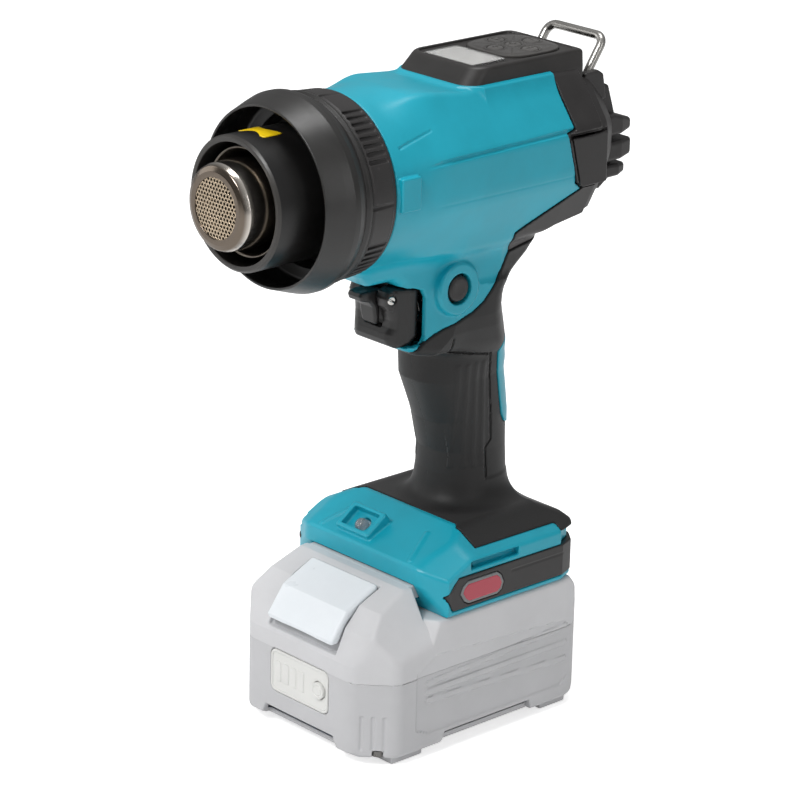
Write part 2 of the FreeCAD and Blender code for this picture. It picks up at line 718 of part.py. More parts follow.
def heater_former():
    """Cross of two blades with a round core."""
    blades = fuse(
        mid_box(0.5, HEATER_FRONT, HEATER_REAR, "bar_z - 13.4", "bar_z + 13.4"),
        mid_box(13.4, HEATER_FRONT, HEATER_REAR, "bar_z - 0.5", "bar_z + 0.5"),
    )
    return fuse(blades, cyl("y", 3.0, HEATER_FRONT, HEATER_REAR, 0, "bar_z"))


def heater_coil():
    return coil(pitch=3.0, height=51.0, radius=14.1, wire_rad=0.42, slope=0.034,
                at=(0, -101, "bar_z"), rotation=ALONG_Y)


def temperature_sensor():
    tip = cyl("y", 0.9, -112, -104.4, 8, "bar_z + 8")
    lead = cyl("y", 0.5, -104.6, -44, 9, "bar_z + 8")
    return fuse(tip, lead)


# ---------------------------------------------------------------- blower
FAN_DUCT = [  # (y, radius)
    (-44, 16.65), (-44, 18.3), (-37, 18.3), (-14, 23.6), (14, 27.9), (35, 27.9), (35, 26.6),
    (14.6, 26.6), (-13.2, 22.2), (-36.4, 16.65),
]
MOTOR_CAN = [
    (-10, 0), (-10, 14.2), (17, 14.2), (17, 2.6), (15, 2.6), (15, 12.6), (-8, 12.6), (-8, 0),
]
VANE_COUNT = 9
VANE_SIZE = (1.2, 13.0, 16.4)
VANE_CORNER = (3.2, 19.6, 8.4)
VANE_YAW = 35  # degrees


def motor_can():
    """Can with four stays: above, below and one on each side."""
    stays = fuse(
        mid_box(0.8, -6, 10, "bar_z + 14.1", "bar_z + 23"),
        mid_box(0.8, -6, 10, "bar_z - 23", "bar_z - 14.1"),
        *box_pair(14.1, 23, -6, 10, "bar_z - 0.8", "bar_z + 0.8"),
    )
    return fuse(revolved(MOTOR_CAN), stays)


def motor_rotor():
    core = cyl("y", 10.5, -6, 12, 0, "bar_z")
    shaft = cyl("y", 2.0, -7.5, 33, 0, "bar_z")
    return fuse(core, shaft)


def fan_impeller():
    hub = cut(cyl("y", 9, 19, 31, 0, "bar_z"), cyl("y", 2.03, 18, 32, 0, "bar_z"))
    step = 360 / VANE_COUNT
    vanes = [spun_box(VANE_SIZE, VANE_CORNER, i * step, VANE_YAW) for i in range(VANE_COUNT)]
    return fuse(hub, *vanes)


# ---------------------------------------------------------------- trigger group
# Side outlines (y, z).
TRIGGER = [
    (-37.2, 179.6), (-44, 179.8), (-49, 176.5), (-49.4, 171), (-47.2, 166), (-47.4, 161),
    (-50.4, 156.2), (-46, 154.9), (-37.2, 154.9),
]
LEVER = [
    (-41.6, 173), (-41.6, 177.6), (-43.2, 178.6), (-52, 178.4), (-54.6, 176.8), (-54.2, 175),
    (-51, 173.6), (-50.6, 168.6), (-48.8, 164.6), (-46.8, 164.6), (-46.8, 172),
]
LOCK_CAP = [  # (distance from the inner end, radius)
    (0, 0), (9.2, 0), (9.2, 3.4), (8.4, 5.0), (7.2, 5.7), (2.2, 5.7), (2.2, 7.4), (0, 7.4),
]
TRIGGER_HALF = 11.1


def pin_hole():
    return cyl("x", 1.25, -12, 12, "pin_y", "pin_z")


def trigger():
    lever_slot = mid_box(4.6, -58, -40.5, 163.5, 182)
    blade = cut(side_pad(TRIGGER, TRIGGER_HALF), fuse(lever_slot, pin_hole()))
    plunger = mid_box(3.4, -37.5, -30, 163.6, 170.4)
    return fuse(blade, plunger)


def lock_off_lever():
    return cut(side_pad(LEVER, 4.35), pin_hole())


def lever_pin():
    return cyl("x", 1.2, -TRIGGER_HALF, TRIGGER_HALF, "pin_y", "pin_z")


def switch_body():
    front_notch = mid_box(4, -22, -16, 163, 171)
    side_notch = box(8.4, 10, "lock_y - 4", "lock_y + 4", "lock_z - 4", "lock_z + 4")
    return cut(mid_box(9, -21, 6, 160, 182), fuse(front_notch, side_notch))


def trigger_spring():
    return coil(pitch=2.6, height=13.0, radius=6.0, wire_rad=0.4, slope=0.07,
                at=(0, -36, 167), rotation=ALONG_Y)


def lock_button():
    """Button on the left side, turned about an axis parallel to X."""
    return revolved(LOCK_CAP, at=(14.4, "lock_y", "lock_z"), rotation=Rotation(V(0, 0, 1), -90))


# ---------------------------------------------------------------- display group
BEZEL = [  # side outline (y, z)
    (-17.7, "bezel_low"), (-16.3, "bezel_low + 3.4"), (-11, "bezel_top"),
    ("bezel_back", "bezel_top"), ("bezel_back", "bezel_low"),
]
BEZEL_PLAN = mirrored([  # (x, y), -X half
    (-13, -17.8), ("-bezel_half", -10.5), ("-bezel_half", "bezel_back + 1"),
])
KEYPAD_PLAN = mirrored([(-9, 10.8), (-14.4, 16), (-14.4, 36), (-9, 41.4)])  # (x, y), -X half
KEYS = {  # x, y
    "key_power": (0, 26),
    "key_plus": (0, 16.6),
    "key_minus": (0, 35.6),
    "key_mode": (-9.2, 26),
    "key_fan": (9.2, 26),
}


def key_holes(low):
    return [cyl("z", "key_rad + 0.2", low, "bezel_top + 2", x, y) for x, y in KEYS.values()]


def display_bezel():
    recess_floor = "bezel_top - 0.9"
    room = mid_box(17.8, -11.8, 42.2, "bezel_low - 1", "bezel_top - 2.2")
    window_opening = mid_box(12.2, -7.4, 8.2, "bezel_top - 3", "bezel_top + 1")
    window_recess = mid_box(14, -9, 9.7, recess_floor, "bezel_top + 1")
    keypad_recess = mid_box(14.6, 10.6, 41.6, recess_floor, "bezel_top + 1")
    block = common(side_pad(BEZEL, "bezel_half"), plan_pad(BEZEL_PLAN, 250, 265))
    cutters = fuse(room, window_opening, window_recess, keypad_recess,
                   *key_holes("bezel_top - 4"))
    return cut(block, cutters)


def display_window():
    return mid_box(13.85, -8.85, 9.55, "bezel_top - 0.85", "bezel_top - 0.1")


def lcd_panel():
    return mid_box(13, -8.2, 8.9, "bezel_top - 4.6", "bezel_top - 2.35")


def display_board():
    """Board with a square block under each key."""
    board = mid_box(17, -11.5, 41.5, "bezel_low + 0.7", "bezel_low + 2.3")
    blocks = [
        box(x - 2, x + 2, y - 2, y + 2, "bezel_low + 2.2", "bezel_low + 3.6")
        for x, y in KEYS.values()
    ]
    return fuse(board, *blocks)


def keypad():
    sheet_pad = plan_pad(KEYPAD_PLAN, "bezel_top - 0.85", "bezel_top + 0.25")
    return cut(sheet_pad, fuse(*key_holes("bezel_top - 2")))


def key(x, y):
    cap = cyl("z", "key_rad", "bezel_top - 1.6", "bezel_top + 0.9", x, y)
    stem = cyl("z", "key_rad - 1.2", "bezel_top - 2.85", "bezel_top - 1.5", x, y)
    return fuse(cap, stem)


# ---------------------------------------------------------------- electronics and lamp
BLADE_XS = (-17, -7, 7, 17)  # terminal blades; the battery's slots and contacts match
LENS = [(0, 0), (0, 2.6), (4, 2.6), (4, 3.1), (5, 3.1), (5, 0)]  # (along the axis, radius)
WIRE_XS = (-3.2, 0, 3.2)


def main_board():
    """Board in the foot with two round parts and one block on top."""
    return fuse(
        mid_box(24, -30, 8, 69.3, 70.9),
        cyl("z", 4, 70.8, 77, -17, 0),
        cyl("z", 4, 70.8, 77, -17, -10),
        box(10, 20, -26, -10, 70.8, 75),
    )


def led_lens():
    return revolved(LENS, at=(-8, -42.2, 79.6), rotation=Rotation(V(1, 0, 0), -40))


def led_board():
    return box(-11, -5, -36.6, -35.4, 71.2, 76.4)


def terminal_block():
    block = fuse(
        mid_box(24, 12, 21.8, 56.2, "deck_z - 0.1"),
        mid_box(22, 12, 21.8, "deck_z - 0.5", "deck_z + 2.4"),
    )
    slits = fuse(*[box(x - 0.45, x + 0.45, 8, 18.2, 57.9, 64.1) for x in BLADE_XS])
    return cut(block, slits)


def terminal_blades():
    return compound([box(x - 0.4, x + 0.4, -6, 18, 58, 64) for x in BLADE_XS])


def wiring_harness():
    """Three wires from the foot up the grip to the switch."""
    return compound([
        fuse(cyl("z", 1.1, 73, 157, x, -3), cyl("y", 0.9, -12, -3, x, 77.2))
        for x in WIRE_XS
    ])


# ---------------------------------------------------------------- battery case
# A lower tray and an upper cover; the cover carries the rails and the front deck.
PACK = [  # side outline (y, z)
    ("pack_front", "foot_pad + 3"), ("pack_front", 42), ("pack_front + 6", 53), (-66, 60),
    (-52.5, 65.8), (-48.5, 65.8), (-48.5, "pack_top"), (27, "pack_top"), (33, 50),
    ("pack_back", 42), ("pack_back", "foot_pad + 3"), ("pack_back - 3", "foot_pad"),
    ("pack_front + 3", "foot_pad"),
]
PACK_PLAN = mirrored([  # (x, y), -X half
    (-30, "pack_front - 1"), ("-pack_half", -66), ("-pack_half", 28), (-37, "pack_back + 1"),
])
DECK_SIDE = [(60, -90), (31, -90), (38, -40), (60, -40)]  # cut beside the deck, (x, y), +X side
CASE_FLOOR = "foot_pad + 2.3"
NOSE_IN = [  # side outline (y, z) of the hollow in the battery's nose
    (-76.3, CASE_FLOOR), (-76.3, 36), (-73.6, 38.5), (-72.7, 41), (-69, 47), (-64, 47),
    (-64, CASE_FLOOR),
]
LATCH_ROOM = [(-82, 39.8), (-82, 61), (-55, 68), (-55, 58.4), (-70, 50), (-75.9, 39.8)]  # (y, z)
PADS = [  # feet under the tray: x from, x to, y from, y to
    (-40, -28, -66, -50), (28, 40, -66, -50), (-40, -28, 14, 28), (28, 40, 14, 28),
    (-10, 10, -10, 10),
]
CASE_SPLIT = 34  # top of the tray
CASE_JOINT = 0.1  # gap between tray and cover
PACK_SCREWS = [(-36, -69.5), (36, -69.5)]  # x, y
LATCH_SPRING_Y = -60.5
GAUGE_BUTTON = (11.5, 25)  # x, z


def pack_envelope():
    outline = common(side_pad(PACK, 50), plan_pad(PACK_PLAN, -5, 80))
    deck_sides = fuse(*[
        plan_pad([(side * x, y) for x, y in DECK_SIDE], "pack_top", 80) for side in (-1, 1)
    ])
    rails = fuse(
        mid_box(26, -49, 10, "pack_top - 0.5", 65.9),
        mid_box(29.2, -49, 10, 60.2, 65.9),
    )
    return fuse(cut(outline, deck_sides), rails)


def pack_hollow():
    rear = "pack_back - 2.3"
    return fuse(
        side_pad(NOSE_IN, 31),
        mid_box(33.5, -73.9, -64, CASE_FLOOR, 47),
        mid_box("pack_half - 3.6", "pack_front + 12.4", rear, CASE_FLOOR, 51),
        mid_box(31, -64, rear, CASE_FLOOR, 50.9),
        mid_box(23, -46, -10, 50, 63),
    )


def pack_shell():
    pads = fuse(*[box(*spot, 0, "foot_pad + 1") for spot in PADS])
    latch_room = fuse(side_pad(LATCH_ROOM, 19.6), cyl("z", 3.3, 52.3, 60, 0, LATCH_SPRING_Y))
    blade_slots = fuse(*[box(x - 1.6, x + 1.6, -8, 11, 57.4, 65) for x in BLADE_XS])
    gauge_room = fuse(
        mid_box(17, "pack_front - 2", "pack_front + 0.9", 16, 34),
        cyl("y", 3.6, "pack_front - 2", "pack_front + 2.6", *GAUGE_BUTTON),
    )
    return cut(fuse(pack_envelope(), pads), pack_hollow(), latch_room, blade_slots, gauge_room)


def battery_case_lower(shell):
    tray = common(shell, mid_box(60, -100, 60, -1, CASE_SPLIT))
    screw_holes = fuse(
        *[cyl("z", 1.6, -2, 36, x, y) for x, y in PACK_SCREWS],
        *[cyl("z", 2.8, -2, 6.4, x, y) for x, y in PACK_SCREWS],
    )
    return cut(tray, screw_holes)


def battery_case_upper(shell):
    cover = common(shell, mid_box(60, -100, 60, CASE_SPLIT + CASE_JOINT, 80))
    return cut(cover, fuse(*[cyl("z", 1.6, 30, 42, x, y) for x, y in PACK_SCREWS]))


def battery_screws():
    return compound([
        fuse(cyl("z", 1.5, 6.2, 41, x, y), cyl("z", 2.6, 4, 6.3, x, y)) for x, y in PACK_SCREWS
    ])


# ---------------------------------------------------------------- battery contents
CELL_SPOTS = [  # y, z: two rows of five
    (f"-21.85 + {i}*cell_pitch", f"foot_pad + 13.2 + {j}*cell_pitch")
    for j in (0, 1)
    for i in (-2, -1, 0, 1, 2)
]
LATCH = [  # side outline (y, z)
    (-80.2, 43.4), (-81, 45), (-72.6, 57.4), (-56, 65.6), (-55.4, 64.4), (-55.4, 62),
    (-70.2, 53.6), (-76, 43.4),
]


def battery_cells():
    return compound([
        cyl("x", "cell_rad", "-cell_len/2", "cell_len/2", y, z) for y, z in CELL_SPOTS
    ])


def cell_holder():
    """Two blocks that carry the ends of the cells."""
    blocks = fuse(*box_pair(22, 32.3, -73.4, 30, "foot_pad + 2.5", "foot_pad + 43.6"))
    bores = fuse(*[cyl("x", "cell_rad + 0.12", -34, 34, y, z) for y, z in CELL_SPOTS])
    return cut(blocks, bores)


def battery_board():
    return mid_box(22, -44, 30, 49.0, 50.4)


def battery_contacts():
    """A pair of strips astride each terminal blade."""
    return compound([
        box(x + offset, x + offset + 0.8, -4, 8, 57.6, 64.6)
        for x in BLADE_XS
        for offset in (0.55, -1.35)
    ])


def latch_spring():
    return coil(pitch=1.5, height=3.3, radius=2.45, wire_rad=0.45, slope=0.1,
                at=(0, LATCH_SPRING_Y, 52.8), rotation=Rotation())


def gauge_panel():
    """Plate on the front of the battery, with the button's hole in its +X part."""
    front, rear = "pack_front - 0.2", "pack_front + 0.8"
    plain = box(-16.8, -0.2, front, rear, 16.2, 33.8)
    holed = cut(
        box(-0.3, 16.8, front, rear, 16.2, 33.8),
        cyl("y", 3.6, "pack_front - 2", "pack_front + 2", *GAUGE_BUTTON),
    )
    return fuse(plain, holed)


def gauge_button():
    return cyl("y", 3.4, "pack_front - 0.9", "pack_front + 1.4", *GAUGE_BUTTON)


# ---------------------------------------------------------------- all pieces
housing = whole_housing()
case = pack_shell()
HOUSING_RANGE = (-200, 200, 0, 300)  # y from, y to, z from, z to
RUBBER_RANGE = (-60, 80, 70, 230)
pieces = {
    "housing_left": left_part(housing, *HOUSING_RANGE),
    "housing_right": right_part(housing, *HOUSING_RANGE),
    "housing_screws": housing_screws(),
    "grip_rubber_left": left_part(whole_rubber, *RUBBER_RANGE),
    "grip_rubber_right": right_part(whole_rubber, *RUBBER_RANGE),
    "grip_inlays": grip_inlays(),
    "foot_bumper": foot_bumper(),
    "side_badges": side_badges(),
    "rear_cover": rear_cover(),
    "intake_grille": intake_grille(),
    "dust_filter": dust_filter(),
    "hook": hook(),
    "nozzle": revolved(NOZZLE),
    "nozzle_mesh": nozzle_mesh(),
    "heat_shield": revolved(HEAT_SHIELD),
    "front_tube": revolved(FRONT_TUBE),
    "tube_marker": tube_marker(),
    "outer_guard": revolved(OUTER_GUARD),
    "lock_ring": lock_ring(),
    "heater_former": heater_former(),
    "heater_coil": heater_coil(),
    "temperature_sensor": temperature_sensor(),
    "fan_duct": revolved(FAN_DUCT),
    "motor_can": motor_can(),
    "motor_rotor": motor_rotor(),
    "fan_impeller": fan_impeller(),
    "trigger": trigger(),
    "lock_off_lever": lock_off_lever(),
    "lever_pin": lever_pin(),
    "switch_body": switch_body(),
    "trigger_spring": trigger_spring(),
    "lock_button": lock_button(),
    "display_bezel": display_bezel(),
    "display_window": display_window(),
    "lcd_panel": lcd_panel(),
    "display_board": display_board(),
    "keypad": keypad(),
    **{name: key(x, y) for name, (x, y) in KEYS.items()},
    "main_board": main_board(),
    "led_lens": led_lens(),
    "led_board": led_board(),
    "terminal_block": terminal_block(),
    "terminal_blades": terminal_blades(),
    "wiring_harness": wiring_harness(),
    "battery_case_lower": battery_case_lower(case),
    "battery_case_upper": battery_case_upper(case),
    "battery_screws": battery_screws(),
    "battery_cells": battery_cells(),
    "cell_holder": cell_holder(),
    "battery_board": battery_board(),
    "battery_contacts": battery_contacts(),
    "battery_latch": side_pad(LATCH, 19),
    "latch_spring": latch_spring(),
    "gauge_panel": gauge_panel(),
    "gauge_button": gauge_button(),
}
for label, piece in pieces.items():
    piece.Label = label

# ---------------------------------------------------------------- check and write
doc.recompute()
bad = []
for o in doc.Objects:
    if "Invalid" in o.State or "Error" in o.State:
        bad.append(f"{o.Name}: {o.State}")
for label, piece in pieces.items():
    if piece.Shape.isNull() or not piece.Shape.isValid() or not piece.Shape.Solids:
        bad.append(f"{label}: shape")
if bad:
    raise SystemExit("not written: " + "; ".join(bad))
for name in os.listdir("parts"):
    if name.endswith(".step"):
        os.remove(os.path.join("parts", name))
for label, piece in pieces.items():
    piece.Shape.exportStep(f"parts/{label}.step")
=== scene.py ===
"""A hand-held hot-air tool on its battery: meshes, materials, floor, lights and camera.

The outlet points to -Y along the barrel, Z is up and +X is the tool's left flank.
Most pieces are signed distance fields in millimetres, negative inside, meshed in metres.
"""
import json
import math
from functools import reduce

import bmesh
import bpy
import numpy as np
from mathutils import Matrix, Vector
from numpy import maximum, minimum, sqrt
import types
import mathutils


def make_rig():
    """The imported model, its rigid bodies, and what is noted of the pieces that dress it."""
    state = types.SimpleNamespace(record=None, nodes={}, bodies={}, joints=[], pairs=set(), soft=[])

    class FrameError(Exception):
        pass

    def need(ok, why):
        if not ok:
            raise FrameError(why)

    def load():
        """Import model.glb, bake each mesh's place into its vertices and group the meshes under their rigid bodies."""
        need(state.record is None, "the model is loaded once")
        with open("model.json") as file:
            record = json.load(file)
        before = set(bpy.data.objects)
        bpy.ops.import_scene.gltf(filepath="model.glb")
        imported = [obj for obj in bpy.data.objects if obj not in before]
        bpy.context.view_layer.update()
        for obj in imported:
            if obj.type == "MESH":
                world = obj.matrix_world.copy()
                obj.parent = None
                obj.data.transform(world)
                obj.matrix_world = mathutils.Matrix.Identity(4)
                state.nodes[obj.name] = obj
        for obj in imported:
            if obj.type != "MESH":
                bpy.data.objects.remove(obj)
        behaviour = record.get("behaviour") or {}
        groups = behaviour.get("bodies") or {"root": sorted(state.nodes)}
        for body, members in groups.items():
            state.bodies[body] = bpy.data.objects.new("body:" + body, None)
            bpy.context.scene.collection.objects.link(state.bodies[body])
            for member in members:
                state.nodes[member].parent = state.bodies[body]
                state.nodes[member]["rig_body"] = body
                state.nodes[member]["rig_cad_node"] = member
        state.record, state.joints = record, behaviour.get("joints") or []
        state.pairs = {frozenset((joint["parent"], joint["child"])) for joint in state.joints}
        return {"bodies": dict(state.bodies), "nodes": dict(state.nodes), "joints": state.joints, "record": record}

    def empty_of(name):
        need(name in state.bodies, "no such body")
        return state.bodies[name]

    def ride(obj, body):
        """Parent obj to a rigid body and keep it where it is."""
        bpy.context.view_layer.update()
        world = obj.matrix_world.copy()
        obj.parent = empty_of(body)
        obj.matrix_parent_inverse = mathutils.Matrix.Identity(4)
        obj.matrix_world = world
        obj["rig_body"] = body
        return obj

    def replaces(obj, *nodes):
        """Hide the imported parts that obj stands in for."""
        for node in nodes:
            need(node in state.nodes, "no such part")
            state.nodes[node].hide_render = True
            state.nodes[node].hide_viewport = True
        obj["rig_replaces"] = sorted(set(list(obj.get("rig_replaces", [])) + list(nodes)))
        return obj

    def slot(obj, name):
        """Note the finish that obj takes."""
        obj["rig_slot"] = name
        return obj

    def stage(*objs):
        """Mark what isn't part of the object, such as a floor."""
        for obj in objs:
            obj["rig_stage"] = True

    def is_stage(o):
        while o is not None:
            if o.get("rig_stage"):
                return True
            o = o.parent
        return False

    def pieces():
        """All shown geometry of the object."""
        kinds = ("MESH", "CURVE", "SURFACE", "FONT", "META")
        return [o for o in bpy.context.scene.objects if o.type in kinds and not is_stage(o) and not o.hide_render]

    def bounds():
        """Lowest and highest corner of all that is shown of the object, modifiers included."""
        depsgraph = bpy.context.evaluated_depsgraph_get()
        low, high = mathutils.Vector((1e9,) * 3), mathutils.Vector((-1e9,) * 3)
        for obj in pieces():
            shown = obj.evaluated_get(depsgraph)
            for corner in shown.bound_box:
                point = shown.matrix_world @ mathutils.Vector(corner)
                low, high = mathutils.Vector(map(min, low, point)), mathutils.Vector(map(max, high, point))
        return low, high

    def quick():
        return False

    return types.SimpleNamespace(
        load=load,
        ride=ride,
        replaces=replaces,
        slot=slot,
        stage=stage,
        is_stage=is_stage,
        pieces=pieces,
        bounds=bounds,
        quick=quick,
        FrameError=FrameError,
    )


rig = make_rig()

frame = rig.load()
cad_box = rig.bounds()
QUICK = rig.quick()
f32 = np.float32

MM = 0.001                       # metres in a millimetre
HOUSING_STEP = 1.0 if QUICK else 0.62
BATTERY_STEP = 0.62

# Places shared by several pieces, in millimetres
BARREL_Z = 223.2                 # height of the barrel's axis
LOCK = (-21, 178.6)              # y, z of the lock button's axis
PIVOT = (-44.6, 175.6)           # y, z of the lever's pin
HOOK_AXIS = (51, 248.6)          # y, z of the hook's bores
GAUGE = (0, 25)                  # x, z of the gauge's centre
GAUGE_KEY = (11.5, 25)           # x, z of the button in the gauge
PACK_HALF = 43                   # half width of the battery
KEYS = {"power": (0, 26), "plus": (0, 16.6), "minus": (0, 35.6),    # x, y of each key
        "mode": (-9.2, 26), "fan": (9.2, 26)}


# ======================================================== distance tools
def join(one, two, blend):
    """Union of two distances, blended over a width."""
    share = np.clip(0.5 + 0.5 * (two - one) / blend, 0, 1)
    return two + (one - two) * share - blend * share * (1 - share)


def meet(one, two, blend):
    """Intersection of two distances, blended over a width."""
    return -join(-one, -two, blend)


def carve(form, *cutters):
    """Takes (cutter, blend) pairs out of a form in turn."""
    for cutter, blend in cutters:
        form = meet(form, -cutter, blend)
    return form


def ease(start, end, value):
    part = np.clip((value - start) / (end - start), 0, 1)
    return part * part * (3 - 2 * part)


def along(value, stations, sizes):
    """Size at a value, read between stations."""
    return np.interp(value, stations, sizes).astype(f32)


def circle(u, v, centre_u, centre_v, radius):
    return sqrt((u - centre_u) ** 2 + (v - centre_v) ** 2) - radius


def corner2(u, v, radius):
    """Rounded corner of two half planes given by their distances."""
    outside = sqrt(maximum(u, 0) ** 2 + maximum(v, 0) ** 2)
    return outside + minimum(maximum(u, v), 0) - radius


def corner3(u, v, w, radius):
    outside = sqrt(maximum(u, 0) ** 2 + maximum(v, 0) ** 2 + maximum(w, 0) ** 2)
    return outside + minimum(maximum(u, maximum(v, w)), 0) - radius


def round_rect(u, v, centre, half, radius):
    return corner2(abs(u - centre[0]) - (half[0] - radius),
                   abs(v - centre[1]) - (half[1] - radius), radius)


def box(x, y, z, low, high, radius):
    gaps = [abs(value - (a + b) / 2) - ((b - a) / 2 - radius)
            for value, a, b in zip((x, y, z), low, high)]
    return corner3(*gaps, radius)


def rod(x, y, z, start, end, radius):
    """Round-ended rod between two points."""
    start, end = np.array(start, float), np.array(end, float)
    run = end - start
    gap_x, gap_y, gap_z = x - start[0], y - start[1], z - start[2]
    part = np.clip((gap_x * run[0] + gap_y * run[1] + gap_z * run[2]) / (run @ run), 0, 1)
    return sqrt((gap_x - run[0] * part) ** 2 + (gap_y - run[1] * part) ** 2
                + (gap_z - run[2] * part) ** 2) - radius


def groove(x, y, z, points, radius):
    """Round groove along a path, on both flanks."""
    return reduce(minimum, (rod(abs(x), y, z, start, end, radius)
                            for start, end in zip(points[:-1], points[1:])))


def line(u, v, start, end):
    """Distance to a straight line between two points in a plane."""
    run_u, run_v = end[0] - start[0], end[1] - start[1]
    part = np.clip(((u - start[0]) * run_u + (v - start[1]) * run_v)
                   / (run_u * run_u + run_v * run_v), 0, 1)
    return sqrt((u - start[0] - run_u * part) ** 2 + (v - start[1] - run_v * part) ** 2)


def exact_outline(u, v, points):
    points = np.array(points, float)
    squared = np.full(u.shape, 1e9, f32)
    sign = np.ones(u.shape, f32)
    for i in range(len(points)):
        here, before = points[i], points[i - 1]
        run_u, run_v = before - here
        gap_u, gap_v = u - f32(here[0]), v - f32(here[1])
        part = (gap_u * run_u + gap_v * run_v) / (run_u * run_u + run_v * run_v)
        part = np.clip(part, 0, 1).astype(f32)
        off_u, off_v = gap_u - f32(run_u) * part, gap_v - f32(run_v) * part
        squared = minimum(squared, off_u * off_u + off_v * off_v)
        above, below = v >= here[1], v < before[1]
        left = (run_u * gap_v) > (run_v * gap_u)
        sign = np.where((above & below & left) | (~above & ~below & ~left), -sign, sign)
    return sign * sqrt(squared)


TABLE_STEP, TABLE_MARGIN = 0.2, 8.0
tables = {}


def outline(u, v, points):
    """Signed distance to a closed outline, read from a fine table of the exact distance."""
    key = tuple(points)
    if key not in tables:
        corners = np.array(points, float)
        low, high = corners.min(0) - TABLE_MARGIN, corners.max(0) + TABLE_MARGIN
        axes = [np.arange(low[k], high[k] + TABLE_STEP, TABLE_STEP) for k in range(2)]
        grid_u, grid_v = np.meshgrid(*axes, indexing="ij")
        tables[key] = low, exact_outline(grid_u.astype(f32), grid_v.astype(f32), points)
    low, table = tables[key]
    rows, width = table.shape
    u, v = (u - f32(low[0])) / f32(TABLE_STEP), (v - f32(low[1])) / f32(TABLE_STEP)
    near_u, near_v = np.clip(u, 0, rows - 1.001), np.clip(v, 0, width - 1.001)
    row, column = near_u.astype(np.int32), near_v.astype(np.int32)
    part_u, part_v = (near_u - row).astype(f32), (near_v - column).astype(f32)
    table = table.ravel()
    k = row * width + column
    dist = ((table[k] * (1 - part_u) + table[k + width] * part_u) * (1 - part_v)
            + (table[k + 1] * (1 - part_u) + table[k + width + 1] * part_u) * part_v)
    beyond = (abs(u - near_u) + abs(v - near_v)).astype(f32)
    return dist + beyond * f32(TABLE_STEP)


# ======================================================== meshing tools
CORNERS = [(a, b, c) for a in (0, 1) for b in (0, 1) for c in (0, 1)]
EDGES = [(0, 1), (2, 3), (4, 5), (6, 7), (0, 2), (1, 3), (4, 6), (5, 7),
         (0, 4), (1, 5), (2, 6), (3, 7)]
BLOCK = 8                        # cells along the edge of a grid block


def sample(field, points, chunk=600000):
    values = np.empty(len(points), f32)
    for i in range(0, len(points), chunk):
        part = points[i:i + chunk]
        values[i:i + chunk] = field(part[:, 0], part[:, 1], part[:, 2])
    return values


def gradient(field, points, reach, here=None):
    """Slope from forward differences where the values here are given, else central ones."""
    slope = np.empty_like(points)
    for k in range(3):
        shift = np.zeros(3, f32)
        shift[k] = reach
        behind = sample(field, points - shift) if here is None else here
        slope[:, k] = sample(field, points + shift) - behind
    return slope / (2 * reach if here is None else reach)


def sample_grid(field, low, high, step):
    """Grid of distances: exact in blocks near the surface, one value per block elsewhere."""
    blocks = np.ceil((high - low) / step / BLOCK).astype(int)
    axes = [low[k] + (np.arange(blocks[k]) + 0.5) * BLOCK * step for k in range(3)]
    centres = np.stack(np.meshgrid(*axes, indexing="ij"), -1).reshape(-1, 3).astype(f32)
    coarse = sample(field, centres)
    values = np.empty(blocks * BLOCK + 1, f32)
    filled = coarse.reshape(blocks)
    for k in range(3):
        filled = np.repeat(filled, BLOCK, axis=k)
    values[:-1, :-1, :-1] = filled
    values[-1] = values[-2]
    values[:, -1] = values[:, -2]
    values[:, :, -1] = values[:, :, -2]
    near = abs(coarse) < BLOCK * step * 0.866 * 1.3 + 0.8
    active = np.argwhere(near.reshape(blocks))
    local = np.stack(np.meshgrid(*[np.arange(BLOCK + 1)] * 3, indexing="ij"), -1).reshape(-1, 3)
    for i in range(0, len(active), 900):
        index = (active[i:i + 900, None, :] * BLOCK + local[None]).reshape(-1, 3)
        points = (low + index * step).astype(f32)
        values[index[:, 0], index[:, 1], index[:, 2]] = sample(field, points)
    return values


def net_points(values, inside):
    """One point per crossed cell, in grid units, and the grid of point numbers."""
    size = values.shape
    count = np.zeros(tuple(n - 1 for n in size), np.int8)
    for a, b, c in CORNERS:
        count += inside[a:size[0] - 1 + a, b:size[1] - 1 + b, c:size[2] - 1 + c]
    cells = np.argwhere((count > 0) & (count < 8))
    numbers = np.full(count.shape, -1, np.int32)
    numbers[cells[:, 0], cells[:, 1], cells[:, 2]] = np.arange(len(cells))
    at_corners = np.stack([values[cells[:, 0] + a, cells[:, 1] + b, cells[:, 2] + c]
                           for a, b, c in CORNERS], 1)
    total = np.zeros((len(cells), 3))
    crossings = np.zeros(len(cells))
    corners = np.array(CORNERS, float)
    for a, b in EDGES:
        crossed = (at_corners[:, a] < 0) != (at_corners[:, b] < 0)
        start, end = at_corners[crossed, a], at_corners[crossed, b]
        part = (start / (start - end))[:, None]
        total[crossed] += corners[a] * (1 - part) + corners[b] * part
        crossings[crossed] += 1
    return cells + total / crossings[:, None], numbers


def net_quads(inside, numbers):
    """A quad round every grid edge that the surface crosses."""
    quads = []
    for k in range(3):
        here, ahead = [slice(1, -1)] * 3, [slice(1, -1)] * 3
        here[k], ahead[k] = slice(0, -1), slice(1, None)
        start, end = inside[tuple(here)], inside[tuple(ahead)]
        base = np.argwhere(start != end)
        leaving = start[base[:, 0], base[:, 1], base[:, 2]]
        shift_1, shift_2 = np.zeros(3, int), np.zeros(3, int)
        shift_1[(k + 1) % 3] = 1
        shift_2[(k + 2) % 3] = 1
        base += shift_1 + shift_2
        ring = [base, base - shift_1, base - shift_1 - shift_2, base - shift_2]
        quad = np.stack([numbers[cell[:, 0], cell[:, 1], cell[:, 2]] for cell in ring], 1)
        quad[~leaving] = quad[~leaving][:, ::-1]
        quads.append(quad)
    quads = np.concatenate(quads)
    return quads[(quads >= 0).all(1)]


